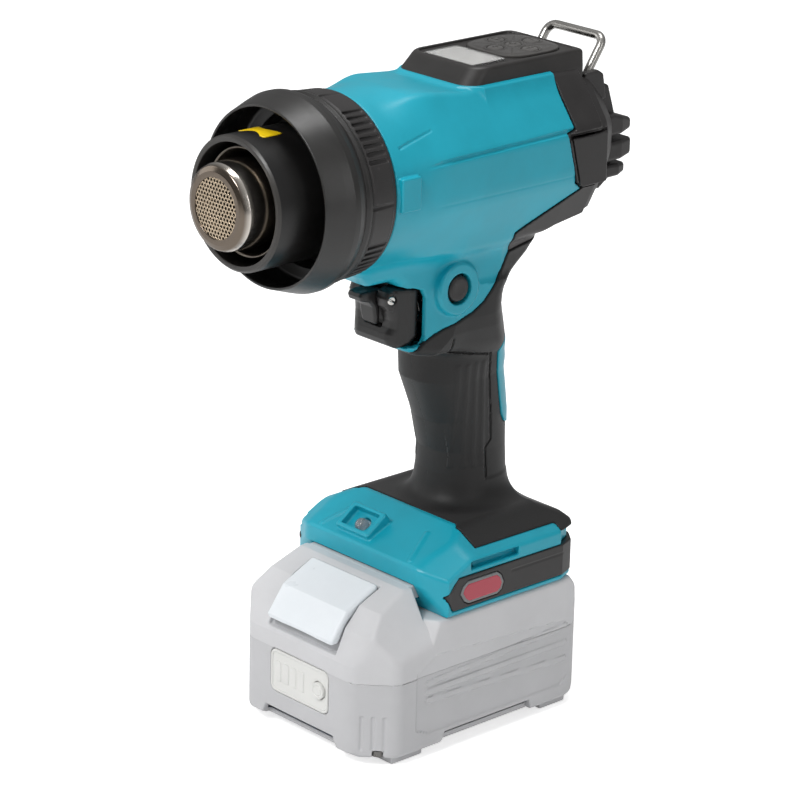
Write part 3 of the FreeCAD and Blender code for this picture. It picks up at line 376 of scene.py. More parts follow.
def settle(field, points, step):
    """Moves points along the slope onto the surface."""
    for _ in range(3):
        here = sample(field, points)
        slope = gradient(field, points, 0.06, here)
        move = slope * (here / maximum((slope * slope).sum(1), 0.2))[:, None]
        length = np.linalg.norm(move, axis=1)
        move *= (minimum(length, step * 0.6) / maximum(length, 1e-9))[:, None]
        points = points - move
    return points


def add_object(name, data):
    made = bpy.data.objects.new(name, data)
    bpy.context.scene.collection.objects.link(made)
    return made


def array_mesh(name, points, quads, material, normals=None):
    mesh = bpy.data.meshes.new(name)
    mesh.vertices.add(len(points))
    mesh.vertices.foreach_set("co", (points * MM).astype(f32).ravel())
    mesh.loops.add(quads.size)
    mesh.loops.foreach_set("vertex_index", quads.ravel().astype(np.int32))
    mesh.polygons.add(len(quads))
    mesh.polygons.foreach_set("loop_start", np.arange(len(quads), dtype=np.int32) * 4)
    mesh.update(calc_edges=True)
    mesh.polygons.foreach_set("use_smooth", np.ones(len(quads), bool))
    if normals is not None:
        normals = normals / maximum(np.linalg.norm(normals, axis=1), 1e-6)[:, None]
        mesh.normals_split_custom_set_from_vertices([tuple(v) for v in normals.tolist()])
    mesh.materials.append(material)
    return mesh


def list_mesh(name, points, faces, material):
    mesh = bpy.data.meshes.new(name)
    mesh.from_pydata([tuple(value * MM for value in point) for point in points], [], faces)
    mesh.polygons.foreach_set("use_smooth", np.ones(len(faces), bool))
    mesh.materials.append(material)
    return mesh


def tidy(mesh, sharp_angle, merge=False):
    """Turns all faces outwards, merging coincident points if asked, and marks sharp edges."""
    edit = bmesh.new()
    edit.from_mesh(mesh)
    if merge:
        bmesh.ops.remove_doubles(edit, verts=edit.verts, dist=1e-7)
        bmesh.ops.dissolve_degenerate(edit, edges=edit.edges, dist=1e-7)
    bmesh.ops.recalc_face_normals(edit, faces=edit.faces)
    edit.to_mesh(mesh)
    edit.free()
    mesh.set_sharp_from_angle(angle=math.radians(sharp_angle))


def fit(made, body, replaces, slot):
    """Tells the frame what an object moves with, stands for and is made of."""
    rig.ride(made, body)
    if replaces:
        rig.replaces(made, replaces)
    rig.slot(made, slot)


def field_piece(name, field, low, high, step, look, replaces, slot, body="tool"):
    """Meshes the surface of a field inside a box with surface nets."""
    if QUICK:
        step = max(step * 1.5, 0.7) if step < 0.6 else max(step, 0.9)
    low, high = np.array(low, float), np.array(high, float)
    values = sample_grid(field, low, high, step)
    inside = values < 0
    points, numbers = net_points(values, inside)
    points = settle(field, (low + points * step).astype(f32), step)
    mesh = array_mesh(name, points, net_quads(inside, numbers), looks[look],
                      gradient(field, points, 0.12))
    fit(add_object(name, mesh), body, replaces, slot)


def round_path(points, steps=6):
    """Closed path with rounded corners. Points are (u, v, corner radius)."""
    path = []
    count = len(points)
    for i, (u, v, radius) in enumerate(points):
        tip = np.array((u, v), float)
        if radius <= 0:
            path.append(tuple(tip))
            continue
        back = np.array(points[i - 1][:2], float) - tip
        ahead = np.array(points[(i + 1) % count][:2], float) - tip
        back_length, ahead_length = np.linalg.norm(back), np.linalg.norm(ahead)
        back, ahead = back / back_length, ahead / ahead_length
        half = math.acos(float(np.clip(back @ ahead, -0.9999, 0.9999))) / 2
        reach = min(radius / math.tan(half), back_length * 0.48, ahead_length * 0.48)
        radius = reach * math.tan(half)
        middle = back + ahead
        centre = tip + middle / np.linalg.norm(middle) * (radius / math.sin(half))
        start, end = tip + back * reach - centre, tip + ahead * reach - centre
        first = math.atan2(start[1], start[0])
        sweep = math.atan2(end[1], end[0]) - first
        sweep = (sweep + math.pi) % (2 * math.pi) - math.pi
        for j in range(steps + 1):
            angle = first + sweep * j / steps
            path.append((centre[0] + radius * math.cos(angle),
                         centre[1] + radius * math.sin(angle)))
    return path


def lathe(name, profile, look, segments, axis="y", centre=(0, 0, BARREL_Z)):
    """Turns a closed profile of (along, radius, rounding) about the X or Y axis."""
    profile = np.array(round_path(profile), float)
    count = len(profile)
    turn = np.radians(360.0) * np.arange(segments) / segments
    cos, sin = np.cos(turn)[:, None], np.sin(turn)[:, None]
    points = np.empty((segments, count, 3))
    length, across = (1, 0) if axis == "y" else (0, 1)
    points[..., length] = profile[:, 0]
    points[..., across] = profile[:, 1] * sin
    points[..., 2] = profile[:, 1] * cos
    points += np.array(centre)
    i, j = np.arange(segments)[:, None], np.arange(count)[None]
    next_i, next_j = (i + 1) % segments, (j + 1) % count
    quads = [i * count + j, i * count + next_j, next_i * count + next_j, next_i * count + j]
    quads = np.stack(quads, -1).reshape(-1, 4)
    turned = np.roll(profile, -1, axis=0)
    winding = 0.5 * (profile[:, 0] * turned[:, 1] - turned[:, 0] * profile[:, 1]).sum()
    if (winding > 0) == (axis == "y"):
        quads = quads[:, ::-1]
    mesh = array_mesh(name, points.reshape(-1, 3), quads, looks[look])
    tidy(mesh, 38, merge=True)
    return add_object(name, mesh)


# ======================================================== materials
class Graph:
    """Short ways to add and join nodes in a tree."""

    def __init__(self, tree):
        self.tree = tree
        tree.nodes.clear()

    def fill(self, node, values):
        """Sets inputs to plain values, or links them to sockets."""
        for key, value in values.items():
            if isinstance(value, bpy.types.NodeSocket):
                self.tree.links.new(value, node.inputs[key])
            else:
                node.inputs[key].default_value = value

    def node(self, kind, values={}):
        node = self.tree.nodes.new("ShaderNode" + kind)
        self.fill(node, values)
        return node

    def remap(self, value, source=(0.3, 0.7), target=(0, 1)):
        return self.node("MapRange", {
            "From Min": source[0], "From Max": source[1],
            "To Min": target[0], "To Max": target[1], "Value": value}).outputs["Result"]

    def mix(self, factor, one, two):
        node = self.node("Mix")
        node.data_type = "RGBA"
        self.fill(node, {0: factor, 6: one, 7: two})
        return node.outputs[2]


class Look(Graph):
    """A material with a Principled shader and object coordinates."""

    def __init__(self, name):
        self.material = bpy.data.materials.new(name)
        self.material.use_nodes = True
        super().__init__(self.material.node_tree)
        output = self.node("OutputMaterial")
        self.shader = self.node("BsdfPrincipled")
        self.fill(output, {0: self.shader.outputs[0]})
        self.coords = self.node("TexCoord").outputs["Object"]

    def shade(self, values):
        self.fill(self.shader, values)
        return self.material

    def noise(self, scale, detail, roughness, vector=None):
        return self.node("TexNoise", {
            "Scale": scale, "Detail": detail, "Roughness": roughness,
            "Vector": vector or self.coords}).outputs["Fac"]

    def bump(self, height, strength, distance, under=None):
        values = {"Strength": strength, "Distance": distance, "Height": height}
        if under:
            values["Normal"] = under
        return self.node("Bump", values).outputs["Normal"]


def srgb(*channels):
    """Linear colour from 8-bit sRGB channels."""
    linear = (c / 255 / 12.92 if c / 255 <= 0.04045 else ((c / 255 + 0.055) / 1.055) ** 2.4
              for c in channels)
    return tuple(linear) + (1,)


def tone(colour, scale, lift=0):
    return tuple(min(1, c * scale + lift) for c in colour[:3]) + (1,)


def plastic(name, colour, rough=0.42, grain=2600, strength=0.35, depth=0.00003, vary=0.06,
            spec=0.5, coat=0.0, edge_highlight=None):
    """Moulded plastic: fine grain (scale, strength, depth), clouded tone, and paler convex edges, a painted highlight.
    """
    look = Look(name)
    fine = look.noise(scale=grain, detail=3, roughness=0.6)
    cloud = look.noise(scale=38, detail=4, roughness=0.6)
    base = look.mix(look.remap(cloud), tone(colour, 1 - vary * 2.2),
                    tone(colour, 1 + vary * 2.2, 0.002))
    # paler colour on convex edges, found by pointiness: a painted highlight where light would catch the edges
    if edge_highlight:
        pointed = look.node("NewGeometry").outputs["Pointiness"]
        edge = look.remap(pointed, source=(0.53, 0.62), target=(0, edge_highlight))
        base = look.mix(edge, base, tone(colour, 1.6, 0.03))
    return look.shade({
        "Base Color": base,
        "Roughness": look.remap(cloud, source=(0.25, 0.75), target=(rough - 0.06, rough + 0.07)),
        "Specular IOR Level": spec, "Coat Weight": coat, "Coat Roughness": 0.25,
        "Subsurface Radius": (0.002, 0.002, 0.002),
        "Normal": look.bump(fine, strength, depth)})


def rubber(name, colour, rough):
    """Soft rubber: cell pattern under a fine grain, with a faint sheen."""
    look = Look(name)
    cells = look.node("TexVoronoi", {"Scale": 1500, "Vector": look.coords}).outputs["Distance"]
    fine = look.noise(scale=3800, detail=2, roughness=0.6)
    cloud = look.noise(scale=55, detail=4, roughness=0.6)
    pitted = look.bump(cells, strength=0.25, distance=0.00006)
    return look.shade({
        "Base Color": look.mix(look.remap(cloud), tone(colour, 0.82), tone(colour, 1.25, 0.002)),
        "Roughness": look.remap(cloud, source=(0.25, 0.75), target=(rough - 0.08, rough + 0.08)),
        "Sheen Weight": 0.12, "Sheen Roughness": 0.5, "Specular IOR Level": 0.42,
        "Normal": look.bump(fine, strength=0.3, distance=0.00003, under=pitted)})


def metal(name, colour, rough=0.2, brushed=(1, 1, 1), tint=None, scale=900):
    """Metal with marks drawn out by brushed; tint is (colour, full at y, gone at y)."""
    look = Look(name)
    stretched = look.node("Mapping", {"Scale": brushed, "Vector": look.coords})
    marks = look.noise(scale, detail=3, roughness=0.6, vector=stretched.outputs["Vector"])
    cloud = look.noise(scale=90, detail=3, roughness=0.6)
    base = look.mix(look.remap(cloud), tone(colour, 0.88), tone(colour, 1.08))
    if tint:
        tint_colour, full, gone = tint
        place = look.node("SeparateXYZ", {0: look.coords})
        heat = look.remap(place.outputs["Y"], source=(full, gone), target=(1.0, 0.0))
        base = look.mix(heat, base, tint_colour)
    return look.shade({
        "Metallic": 1.0, "Base Color": base,
        "Roughness": look.remap(marks, target=(max(0.03, rough - 0.07), rough + 0.1)),
        "Normal": look.bump(marks, strength=0.12, distance=0.00002)})


def glass(name, colour, rough, transmission):
    look = Look(name)
    cloud = look.noise(scale=120, detail=2, roughness=0.5)
    return look.shade({
        "Base Color": look.mix(cloud, tone(colour, 0.96), colour),
        "Roughness": look.remap(cloud, target=(rough, rough + 0.05)),
        "Transmission Weight": transmission, "Specular IOR Level": 0.3, "IOR": 1.48})


def lcd_face():
    """Grey panel with a fine grid of square cells."""
    look = Look("lcd_face")
    cells = look.node("TexBrick", {
        "Scale": 900, "Color1": srgb(158, 156, 152), "Color2": srgb(154, 152, 148),
        "Mortar": srgb(146, 144, 140), "Vector": look.coords})
    cells.offset = 0
    cloud = look.noise(scale=60, detail=2, roughness=0.5)
    base = look.mix(look.remap(cloud, target=(0.0, 0.25)), cells.outputs["Color"],
                    srgb(140, 140, 136))
    return look.shade({"Base Color": base, "Roughness": 0.35})


looks = {
    "teal": plastic("teal_plastic", srgb(12, 162, 184), rough=0.36, grain=2300, strength=0.22,
                    depth=0.00002, vary=0.035, coat=0.06),
    "black": plastic("black_plastic", srgb(40, 38, 38), rough=0.44, grain=1900, strength=0.34,
                     vary=0.1, edge_highlight=0.35),
    "guard": plastic("guard_plastic", srgb(32, 31, 30), rough=0.36, grain=1500, strength=0.36,
                     depth=0.00004, vary=0.1, edge_highlight=0.7, spec=0.6),
    "tube": plastic("tube_plastic", srgb(19, 18, 18), rough=0.36, grain=2400, strength=0.2,
                    depth=0.00002, vary=0.08, edge_highlight=0.5),
    "bezel": plastic("bezel_plastic", srgb(42, 40, 39), strength=0.26, vary=0.07, edge_highlight=0.4),
    "rubber": rubber("soft_rubber", srgb(21, 20, 20), rough=0.5),
    "keypad": rubber("key_rubber", srgb(54, 52, 50), rough=0.5),
    "key": rubber("key_caps", srgb(72, 70, 68), rough=0.46),
    "trigger": plastic("trigger_plastic", srgb(30, 29, 29), rough=0.3, grain=2200,
                       strength=0.2, vary=0.08, edge_highlight=0.4),
    "steel": metal("nozzle_steel", srgb(222, 216, 208), rough=0.17, brushed=(0.25, 30, 0.25),
                   tint=(srgb(112, 102, 92), -0.1213, -0.1188)),
    "mesh": metal("mesh_steel", srgb(196, 178, 154), rough=0.26, scale=2600),
    "polished": metal("polished_steel", srgb(214, 212, 208), rough=0.1, scale=700),
    "hook": metal("hook_steel", srgb(176, 174, 170), rough=0.26, scale=700),
    "shield": metal("shield_steel", srgb(128, 122, 114), rough=0.34, scale=700),
    "pack": plastic("pack_grey", srgb(207, 207, 209), rough=0.5, grain=1900, strength=0.25,
                    vary=0.018, spec=0.35),
    "pack_dark": plastic("pack_grey_lower", srgb(196, 196, 198), rough=0.52, grain=1700,
                         strength=0.28, vary=0.02, spec=0.35),
    "pack_lite": plastic("pack_trim", srgb(224, 224, 221), grain=2400, strength=0.15,
                         vary=0.015, spec=0.4),
    "latch": plastic("latch_plastic", srgb(232, 237, 241), rough=0.32, grain=2500,
                     strength=0.12, vary=0.012),
    "badge": plastic("badge_red", srgb(178, 38, 62), rough=0.22, strength=0.06, vary=0.04,
                     coat=0.5),
    "badge_rim": plastic("badge_rim", srgb(120, 122, 124), rough=0.3, strength=0.1, vary=0.04),
    "glass": glass("clear_window", (0.93, 0.93, 0.92, 1), rough=0.04, transmission=0.96),
    "lens": glass("clear_lens", (0.95, 0.97, 1.0, 1), rough=0.05, transmission=0.85),
    "lcd": lcd_face(),
    "yellow": plastic("yellow_film", srgb(242, 204, 22), rough=0.3, strength=0.08, vary=0.03,
                      coat=0.3),
    "mica": plastic("mica", srgb(186, 172, 140), rough=0.3, grain=700, strength=0.4, vary=0.12),
    "heating": metal("heating_wire", srgb(120, 104, 96), rough=0.35),
    "motor": metal("motor_steel", srgb(150, 150, 150), rough=0.35, brushed=(1, 8, 1)),
    "copper": metal("copper", srgb(190, 110, 70), rough=0.3),
    "fan": plastic("fan_plastic", srgb(40, 40, 42), rough=0.4),
    "duct": plastic("duct_plastic", srgb(70, 68, 64), rough=0.5),
    "board": plastic("circuit_board", srgb(20, 80, 45), rough=0.35, grain=900, strength=0.2,
                     vary=0.12, coat=0.3),
    "filter": plastic("filter_mesh", srgb(60, 60, 60), rough=0.7, grain=600, strength=0.8,
                      depth=0.0002),
    "screw": metal("screw_steel", srgb(120, 118, 116), rough=0.32),
    "red": plastic("wire_red", srgb(170, 30, 30), rough=0.4),
    "brass": metal("contact_brass", srgb(205, 170, 100), rough=0.22),
    "cell": plastic("cell_wrap", srgb(70, 120, 170), rough=0.3, coat=0.3),
    "tube_rim": plastic("tube_rim", srgb(52, 50, 48), rough=0.4, grain=2400, strength=0.15),
}

# ======================================================== outer forms of the tool
# Barrel section without its flat top: (half width, height over the axis)
BARREL_SECTION = [(21.2, 31.4), (35.6, 11.6), (35.3, -6.2), (24.2, -29.2), (0, -34.4)]
# Side outlines, (y, z)
NECK = [(-58.0, 194), (-57.6, 186.5), (-54.5, 182.2), (-46, 183.6), (-42.8, 181.6),
        (-41.6, 178), (-41.4, 163), (-42.2, 158.6), (-40.0, 155.2), (-35.4, 153.4),
        (-29, 152.2), (-21, 152), (20.5, 150), (21.3, 160), (22.4, 171), (26.0, 176.6),
        (33.2, 182), (39.6, 190), (39, 205), (-58, 205)]
FOOT = [(-47.2, 66.4), (-47.6, 73.0), (-46.6, 74.2), (-41, 76.8), (-23.5, 84.0), (18, 84.2),
        (26.5, 80.4), (31.0, 74.6), (31.5, 72), (31.5, 57.5), (29, 55.2), (-41.4, 55.2)]
# Neck half widths: by y, and by z
NECK_BY_Y = ([-60, -52, -43, -21, 2, 20, 30, 44], [8.0, 11.8, 15.6, 21.8, 21.8, 17.0, 14.5, 12])
NECK_BY_Z = ([149, 160, 168, 190, 200], [18.6, 21.4, 22.0, 23.0, 25])
# Reach of the neck's rounded rear corners along REAR_DIAGONAL, by z
REAR_DIAGONAL = (0.6864, 0.7267)
WAIST = ([132, 144, 151, 158, 165, 171, 174, 177, 179.5, 182, 184.4, 187.2, 190, 193, 195.6,
          198, 201],
         [26, 19.6, 18.6, 17.4, 16.5, 16.9, 17.5, 19.0, 21.3, 24.2, 27.0, 29.0, 30.8, 33.0,
          38.0, 48, 60])
# Grip sections by z: centre y, half width, half depth, and a trim off the rear
GRIP_Z = [80, 90, 97, 106, 119, 137, 150, 165, 182]
GRIP_CENTRE = [4.0, 4.4, 5.0, 5.1, 3.5, -1.2, -0.6, -0.2, 0.5]
GRIP_WIDTH = [16.6, 16.2, 15.8, 15.4, 15.9, 16.6, 18.4, 20.6, 21.4]
GRIP_DEPTH = [19.0, 18.2, 17.6, 17.5, 19.0, 21.8, 22.1, 22.2, 22.4]
GRIP_TRIM = ([90, 104, 128, 146, 158], [0, 0.35, 0.6, 1.0, 0.6])
FOOT_WIDTH = ([-49, -47, -41.2, 20, 27, 32], [30.0, 33.5, 43.3, 43.3, 40.5, 34])   # by y


def faceted(side, height, top, blend):
    """Barrel section under a flat top."""
    form = height - top
    for (x0, y0), (x1, y1) in zip(BARREL_SECTION[:-1], BARREL_SECTION[1:]):
        run_x, run_y = x1 - x0, y1 - y0
        length = math.hypot(run_x, run_y)
        normal_x, normal_y = -run_y / length, run_x / length
        form = meet(form, (side - x0) * normal_x + (height - y0) * normal_y, blend)
    return form


def barrel_form(x, y, z):
    """Round at the front, faceted behind."""
    height = z - BARREL_Z
    share = ease(-60, -36, y)
    top = along(y, [-45, -20, 30], [34.4, 31.6, 31.5])
    flat = faceted(abs(x), height, top, 1.8)
    return circle(x, height, 0, 0, 34.5) * (1 - share) + flat * share


def waist(x, y, z):
    reach = along(z, *WAIST)
    return (REAR_DIAGONAL[0] * abs(x) + REAR_DIAGONAL[1] * y - reach) * 0.9


def neck_form(x, y, z):
    width = minimum(along(y, *NECK_BY_Y), along(z, *NECK_BY_Z))
    form = meet(outline(y, z, NECK), (abs(x) - width) * 0.95, 4.5)
    return meet(form, waist(x, y, z), 3.0)


def grip_form(x, y, z):
    power = 2.35
    trim = along(z, *GRIP_TRIM)
    centre = along(z, GRIP_Z, GRIP_CENTRE) - trim
    depth = along(z, GRIP_Z, GRIP_DEPTH) - trim
    width = along(z, GRIP_Z, GRIP_WIDTH)
    ratio = (abs(x / width) ** power + abs((y - centre) / depth) ** power) ** (1 / power)
    ratio = maximum(ratio, 0.05)
    form = sqrt(x * x + (y - centre) ** 2) * (1 - 1 / ratio)
    return maximum(form, maximum(z - 176, 78 - z))


def foot_form(x, y, z):
    side = abs(x)
    flank = (side - along(y, *FOOT_WIDTH)) * along(y, [-42, -40, 19, 24], [0.5, 1, 1, 0.75])
    top = ((z - 84.1) + 0.524 * (side - 28.4)) / 1.129
    tip = ((z - 74.6) + 0.55 * (side - 33) - 0.5 * (y + 44)) / 1.24
    return meet(meet(meet(outline(y, z, FOOT), flank, 1.4), top, 1.4), tip, 1.2)


def cap_region(x, y, z):
    """Where the soft covering lies on the foot: its top behind the lamp, short of the flanks."""
    side = abs(x)
    front = -21.4 - 2.2 * ease(25.2, 28.6, side) - y
    flank = join(side - 38.7, 19.4 - y, 1.5)
    return maximum(maximum(front, flank), 70.5 - z)


def foot_core(x, y, z):
    """Foot with a bed for the soft covering."""
    form = foot_form(x, y, z)
    return carve(form, (maximum(cap_region(x, y, z) - 0.12, -(form + 1.7)), 0.3))


def skin_form(x, y, z):
    """Outer surface of neck, grip and foot cap as one smooth form."""
    upper = join(join(neck_form(x, y, z), grip_form(x, y, z), 5.0), barrel_form(x, y, z), 7.0)
    upper = meet(upper, waist(x, y, z), 2.5)
    cap = meet(foot_form(x, y, z) + 0.2, cap_region(x, y, z), 0.8)
    return join(upper, cap, 9.0)


# ======================================================== housing, covering and foot band
# Side outlines, (y, z)
UNCOVERED = [(-35, 143), (-37.2, 151.5), (-37.0, 155.0), (-34.6, 158.2), (-31.0, 160.6),
             (-26.5, 162.8), (-20.6, 164.7), (-12.5, 167.4), (-7.4, 170.6), (-3.4, 175),
             (1.2, 180.6), (6.8, 187.9), (25, 188.6), (44, 189.5), (48, 184), (40, 140),
             (40, 76), (-60, 76), (-60, 143)]
REAR = [(6.8, 187.9), (5.2, 196.4), (33.6, 210.9), (28.6, 214.2), (22.6, 234.3),
        (26.6, 235.4), (26.2, 246), (26.2, 262), (90, 262), (90, 150), (48, 184),
        (44, 189.5), (25, 188.6)]
NOTCH = [(-75, 140.0), (-43.4, 140.0), (-42.0, 157.0), (-37.2, 157.0), (-34.4, 158.4),
         (-33.4, 161), (-33.4, 176.4), (-34.8, 179.4), (-38.2, 180.6), (-54, 180.6), (-75, 176)]
PEDESTAL = [(-18.8, 249), (-18.4, 254.0), (-17.6, 254.8), (26, 254.8), (26, 249)]
BAND = [(-42.0, 63.6), (-38.8, 57.6), (33, 57.6), (33, 70.4), (-36.0, 70.4)]
BADGE = [(-35.4, 63.8), (-33.2, 60.4), (-31, 59.0), (-15.6, 59.0), (-13.2, 60.4),
         (-12.2, 63.4), (-13.6, 66.6), (-16, 68.4), (-31.6, 68.4), (-34.2, 66.6)]
INLAY = [(6.6, 147.4), (6.6, 145.5), (8.4, 136), (10.2, 125.4), (11.6, 118.8), (14, 115.2),
         (18, 113.5), (40, 113.5), (40, 150), (8, 150)]
COVERED = UNCOVERED              # the covering fills the same outline as its bed
SCREWS = [(-48.5, 190.6), (22, 187), (13, 166), (-26, 155.6), (4, 127), (5, 98),
          (-40.6, 70.6), (25.2, 66)]
# Border line of the grip's flanks, from the top down; the first stretch is thinner
BORDER = [(-21.4, 158.0), (-21.3, 152.0), (1.2, 147.2), (2.8, 135.2), (5.2, 110.2),
          (2.4, 107.1), (2.9, 94.8)]
BEHIND_BORDER = BORDER[2:6] + [(2.9, 94), (30, 94), (30, 147.2)]


def trigger_room(x, y, z):
    """A notch right through the flanks, and room behind them for the stroke."""
    room = box(x, y, z, (-15.3, -60, 156.6), (15.3, -27.5, 181.0), 1.5)
    return minimum(outline(y, z, NOTCH), room)


def housing_outside(x, y, z):
    width = along(y, [-19, -11], [14.5, 22.4])
    pedestal = meet(outline(y, z, PEDESTAL), abs(x) - width, 1.0)
    upper = join(neck_form(x, y, z), barrel_form(x, y, z), 7.0)
    upper = join(join(upper, pedestal, 4.0), grip_form(x, y, z), 5.0)
    upper = meet(upper, waist(x, y, z), 2.5)
    return minimum(upper, foot_core(x, y, z))


def band_form(x, y, z, grow=0.0):
    """Band along the foot's flanks and round its rear, pointed at the front."""
    foot = foot_form(x, y, z)
    layer = maximum(foot - 0.35, -(foot + 1.9))
    return meet(layer - grow, outline(y, z, BAND) - grow, 0.4)


def housing(x, y, z):
    outside = housing_outside(x, y, z)
    side = abs(x)
    # raised ring round the lock button, on the left flank only
    ring = corner2(circle(y, z, *LOCK, 9.2), abs(x - 19.25) - 3.05, 1.2)
    form = join(outside, ring, 1.6)
    # small raised tab on each barrel flank, and a raised edge on the foot's front slope
    form = join(form, box(side, y, z, (30, -63.2, 218.6), (36.0, -53.6, 231.6), 0.7), 0.5)
    form = join(form, rod(side, y, z, (19.9, -31.4, 80.4), (25.6, -45.0, 74.6), 0.75), 1.2)
    # lamp housing, tilted 35 degrees: a proud frame with a sunk floor and a round hole
    lamp_y, lamp_z = y + 38.6, z - 77.5
    slope, rise = lamp_y * 0.819 + lamp_z * 0.574, -lamp_y * 0.574 + lamp_z * 0.819
    form = join(form, box(x, slope, rise, (-17.4, -6.2, -4), (1.4, 6.4, 4.2), 1.0), 1.0)
    covering = maximum(maximum(outline(y, z, UNCOVERED), 87 - z), -(outside + 1.5))
    return carve(
        form,
        (box(x, slope, rise, (-15.2, -4.4, 1.0), (-0.8, 4.6, 9), 0.8), 0.5),
        (maximum(circle(x, slope, -8, -0.3, 3.3), -2 - rise), 0.3),
        # hollow, bed of the soft covering, and room for the rear cover
        (outside + 2.4, 0.3),
        (covering - 0.12, 0.3),
        (outline(y, z, REAR) - 0.25, 0.35),
        # front bore and front end
        (maximum(circle(x, z, 0, BARREL_Z, 25.9), y + 58), 0.3),
        (y + 64.5, 0.4),
        # battery channel
        (box(side, y, z, (-1, -60, 40), (26.4, 22, 66.3), 0.3), 0.3),
        (box(side, y, z, (-1, -60, 60), (29.6, 22, 66.3), 0.3), 0.3),
        (trigger_room(x, y, z), 0.6),
        # lock button hole
        (maximum(circle(y, z, *LOCK, 6.1), 14 - x), 0.35),
        # side slots in the foot
        (box(side, y, z, (40, -29.5, 72.3), (50, -4.0, 75.6), 0.8), 0.4),
        # lines along the barrel's flanks
        (groove(x, y, z, [(35.0, -53.0, 233.0), (35.1, -40, 234.2), (34.9, 30, 235.4)], 0.85),
         0.3),
        (groove(x, y, z, [(35.5, -50, 217.2), (35.4, 30, 216.9)], 0.6), 0.5),
        (groove(x, y, z, [(29.4, -59.0, 241.4), (28.2, -42.5, 245.2)], 0.6), 0.4),
        # rebate of the foot band
        (band_form(x, y, z, 0.12), 0.25),
        # screw holes on the right flank
        *[(maximum(circle(y, z, *at, 2.9), x + (4.2 if at[1] > 90 else 41.2)), 0.4)
          for at in SCREWS])


def foot_band(x, y, z):
    seat = maximum(outline(y, z, BADGE) - 0.25, 43.0 - abs(x))
    return carve(band_form(x, y, z), (seat, 0.2),
                 (groove(x, y, z, [(43.9, -8, 66.8), (43.9, 33, 66.8)], 0.42), 0.3))


def badge_layer(inset, outer, outer_blend, inner, inner_blend):
    """Badge plate on both flanks between two distances from the mid-plane."""
    def field(x, y, z):
        side = abs(x)
        form = meet(outline(y, z, BADGE) + inset, side - outer, outer_blend)
        return meet(form, inner - side, inner_blend)
    return field


def inlay_region(x, y, z):
    """Strips on the rear corners of the grip."""
    return meet(outline(y, z, INLAY), 8.6 - abs(x), 0.8)


def grip_inlay(x, y, z):
    skin = skin_form(x, y, z)
    return meet(meet(skin - 0.7, -(skin + 1.2), 0.3), inlay_region(x, y, z), 0.6)


def grip_covering(x, y, z):
    skin = skin_form(x, y, z)
    outer = skin - 0.55
    side = abs(x)
    # border lines, a lower surface behind them, and soft flutes in front
    widths = [0.45] + [0.48] * 5
    border = reduce(minimum, (line(y, z, start, end) - width for start, end, width
                              in zip(BORDER[:-1], BORDER[1:], widths)))
    form = carve(outer, (maximum(maximum(border, -(outer + 0.6)), 9 - side), 0.3))
    form = form + 0.4 * ease(1.0, -1.0, maximum(outline(y, z, BEHIND_BORDER), 6 - side))
    flute = reduce(minimum, (line(y, z, (top, 143.5), (top + 2.6, 101)) - 0.35
                             for top in (-13.5, -9.5, -5.5, -1.5)))
    form = form - 0.28 * np.exp(-(maximum(flute, 0) / 0.8) ** 2) * (side > 9)
    form = meet(form, -(skin + 1.4), 0.25)
    form = meet(form, outline(y, z, COVERED), 0.9)
    # it never enters the foot, and its flare ends at the cap's outline
    form = carve(form, (foot_core(x, y, z) - 0.08, 0.3))
    form = maximum(form, minimum(cap_region(x, y, z), 90 - z) - 0.02)
    return carve(form,
                 (inlay_region(x, y, z) - 0.2, 0.35),
                 (trigger_room(x, y, z), 0.4),
                 (outline(y, z, REAR) - 0.15, 0.3))


def half(field, sign):
    """One side of a field, a little over the mid-plane."""
    return lambda x, y, z: maximum(field(x, y, z), -0.35 - sign * x)


# ======================================================== rear cover and louvres
REAR_INSET = ([26, 40, 47, 50, 56, 60, 64, 68], [0.35, 1.2, 3.2, 5.2, 9.5, 13.5, 19, 27])  # by y
# Side outlines, (y, z)
REAR_BOX = [(44, 204), (44, 247.4), (54.4, 247.4), (61.2, 244.4), (65.6, 231.5), (64, 207),
            (58, 203)]
PANEL_GAP = [(20, 234.2), (49.5, 234.0), (49.5, 209.4), (28, 209.6)]
PANEL_LINE = [(25, 232.4), (46, 232.4), (46, 211.6), (30.6, 211.6)]
HOOK_EAR = [(45.4, 240), (45.4, 251.2), (46.6, 251.9), (53.0, 251.9), (55.6, 250.2),
            (57.6, 240)]


def rear_outside(x, y, z):
    top = along(y, [27, 45, 49, 70], [31.4, 29.6, 28.4, 26])
    form = faceted(abs(x), z - BARREL_Z, top, 2.2) + along(y, *REAR_INSET)
    form = meet(form, (y - 61.5) * 0.9, 5.0)
    neck = join(neck_form(x, y, z), barrel_form(x, y, z), 7.0)
    return meet(join(form, maximum(neck, y - 40.5), 3.0), waist(x, y, z), 2.5)


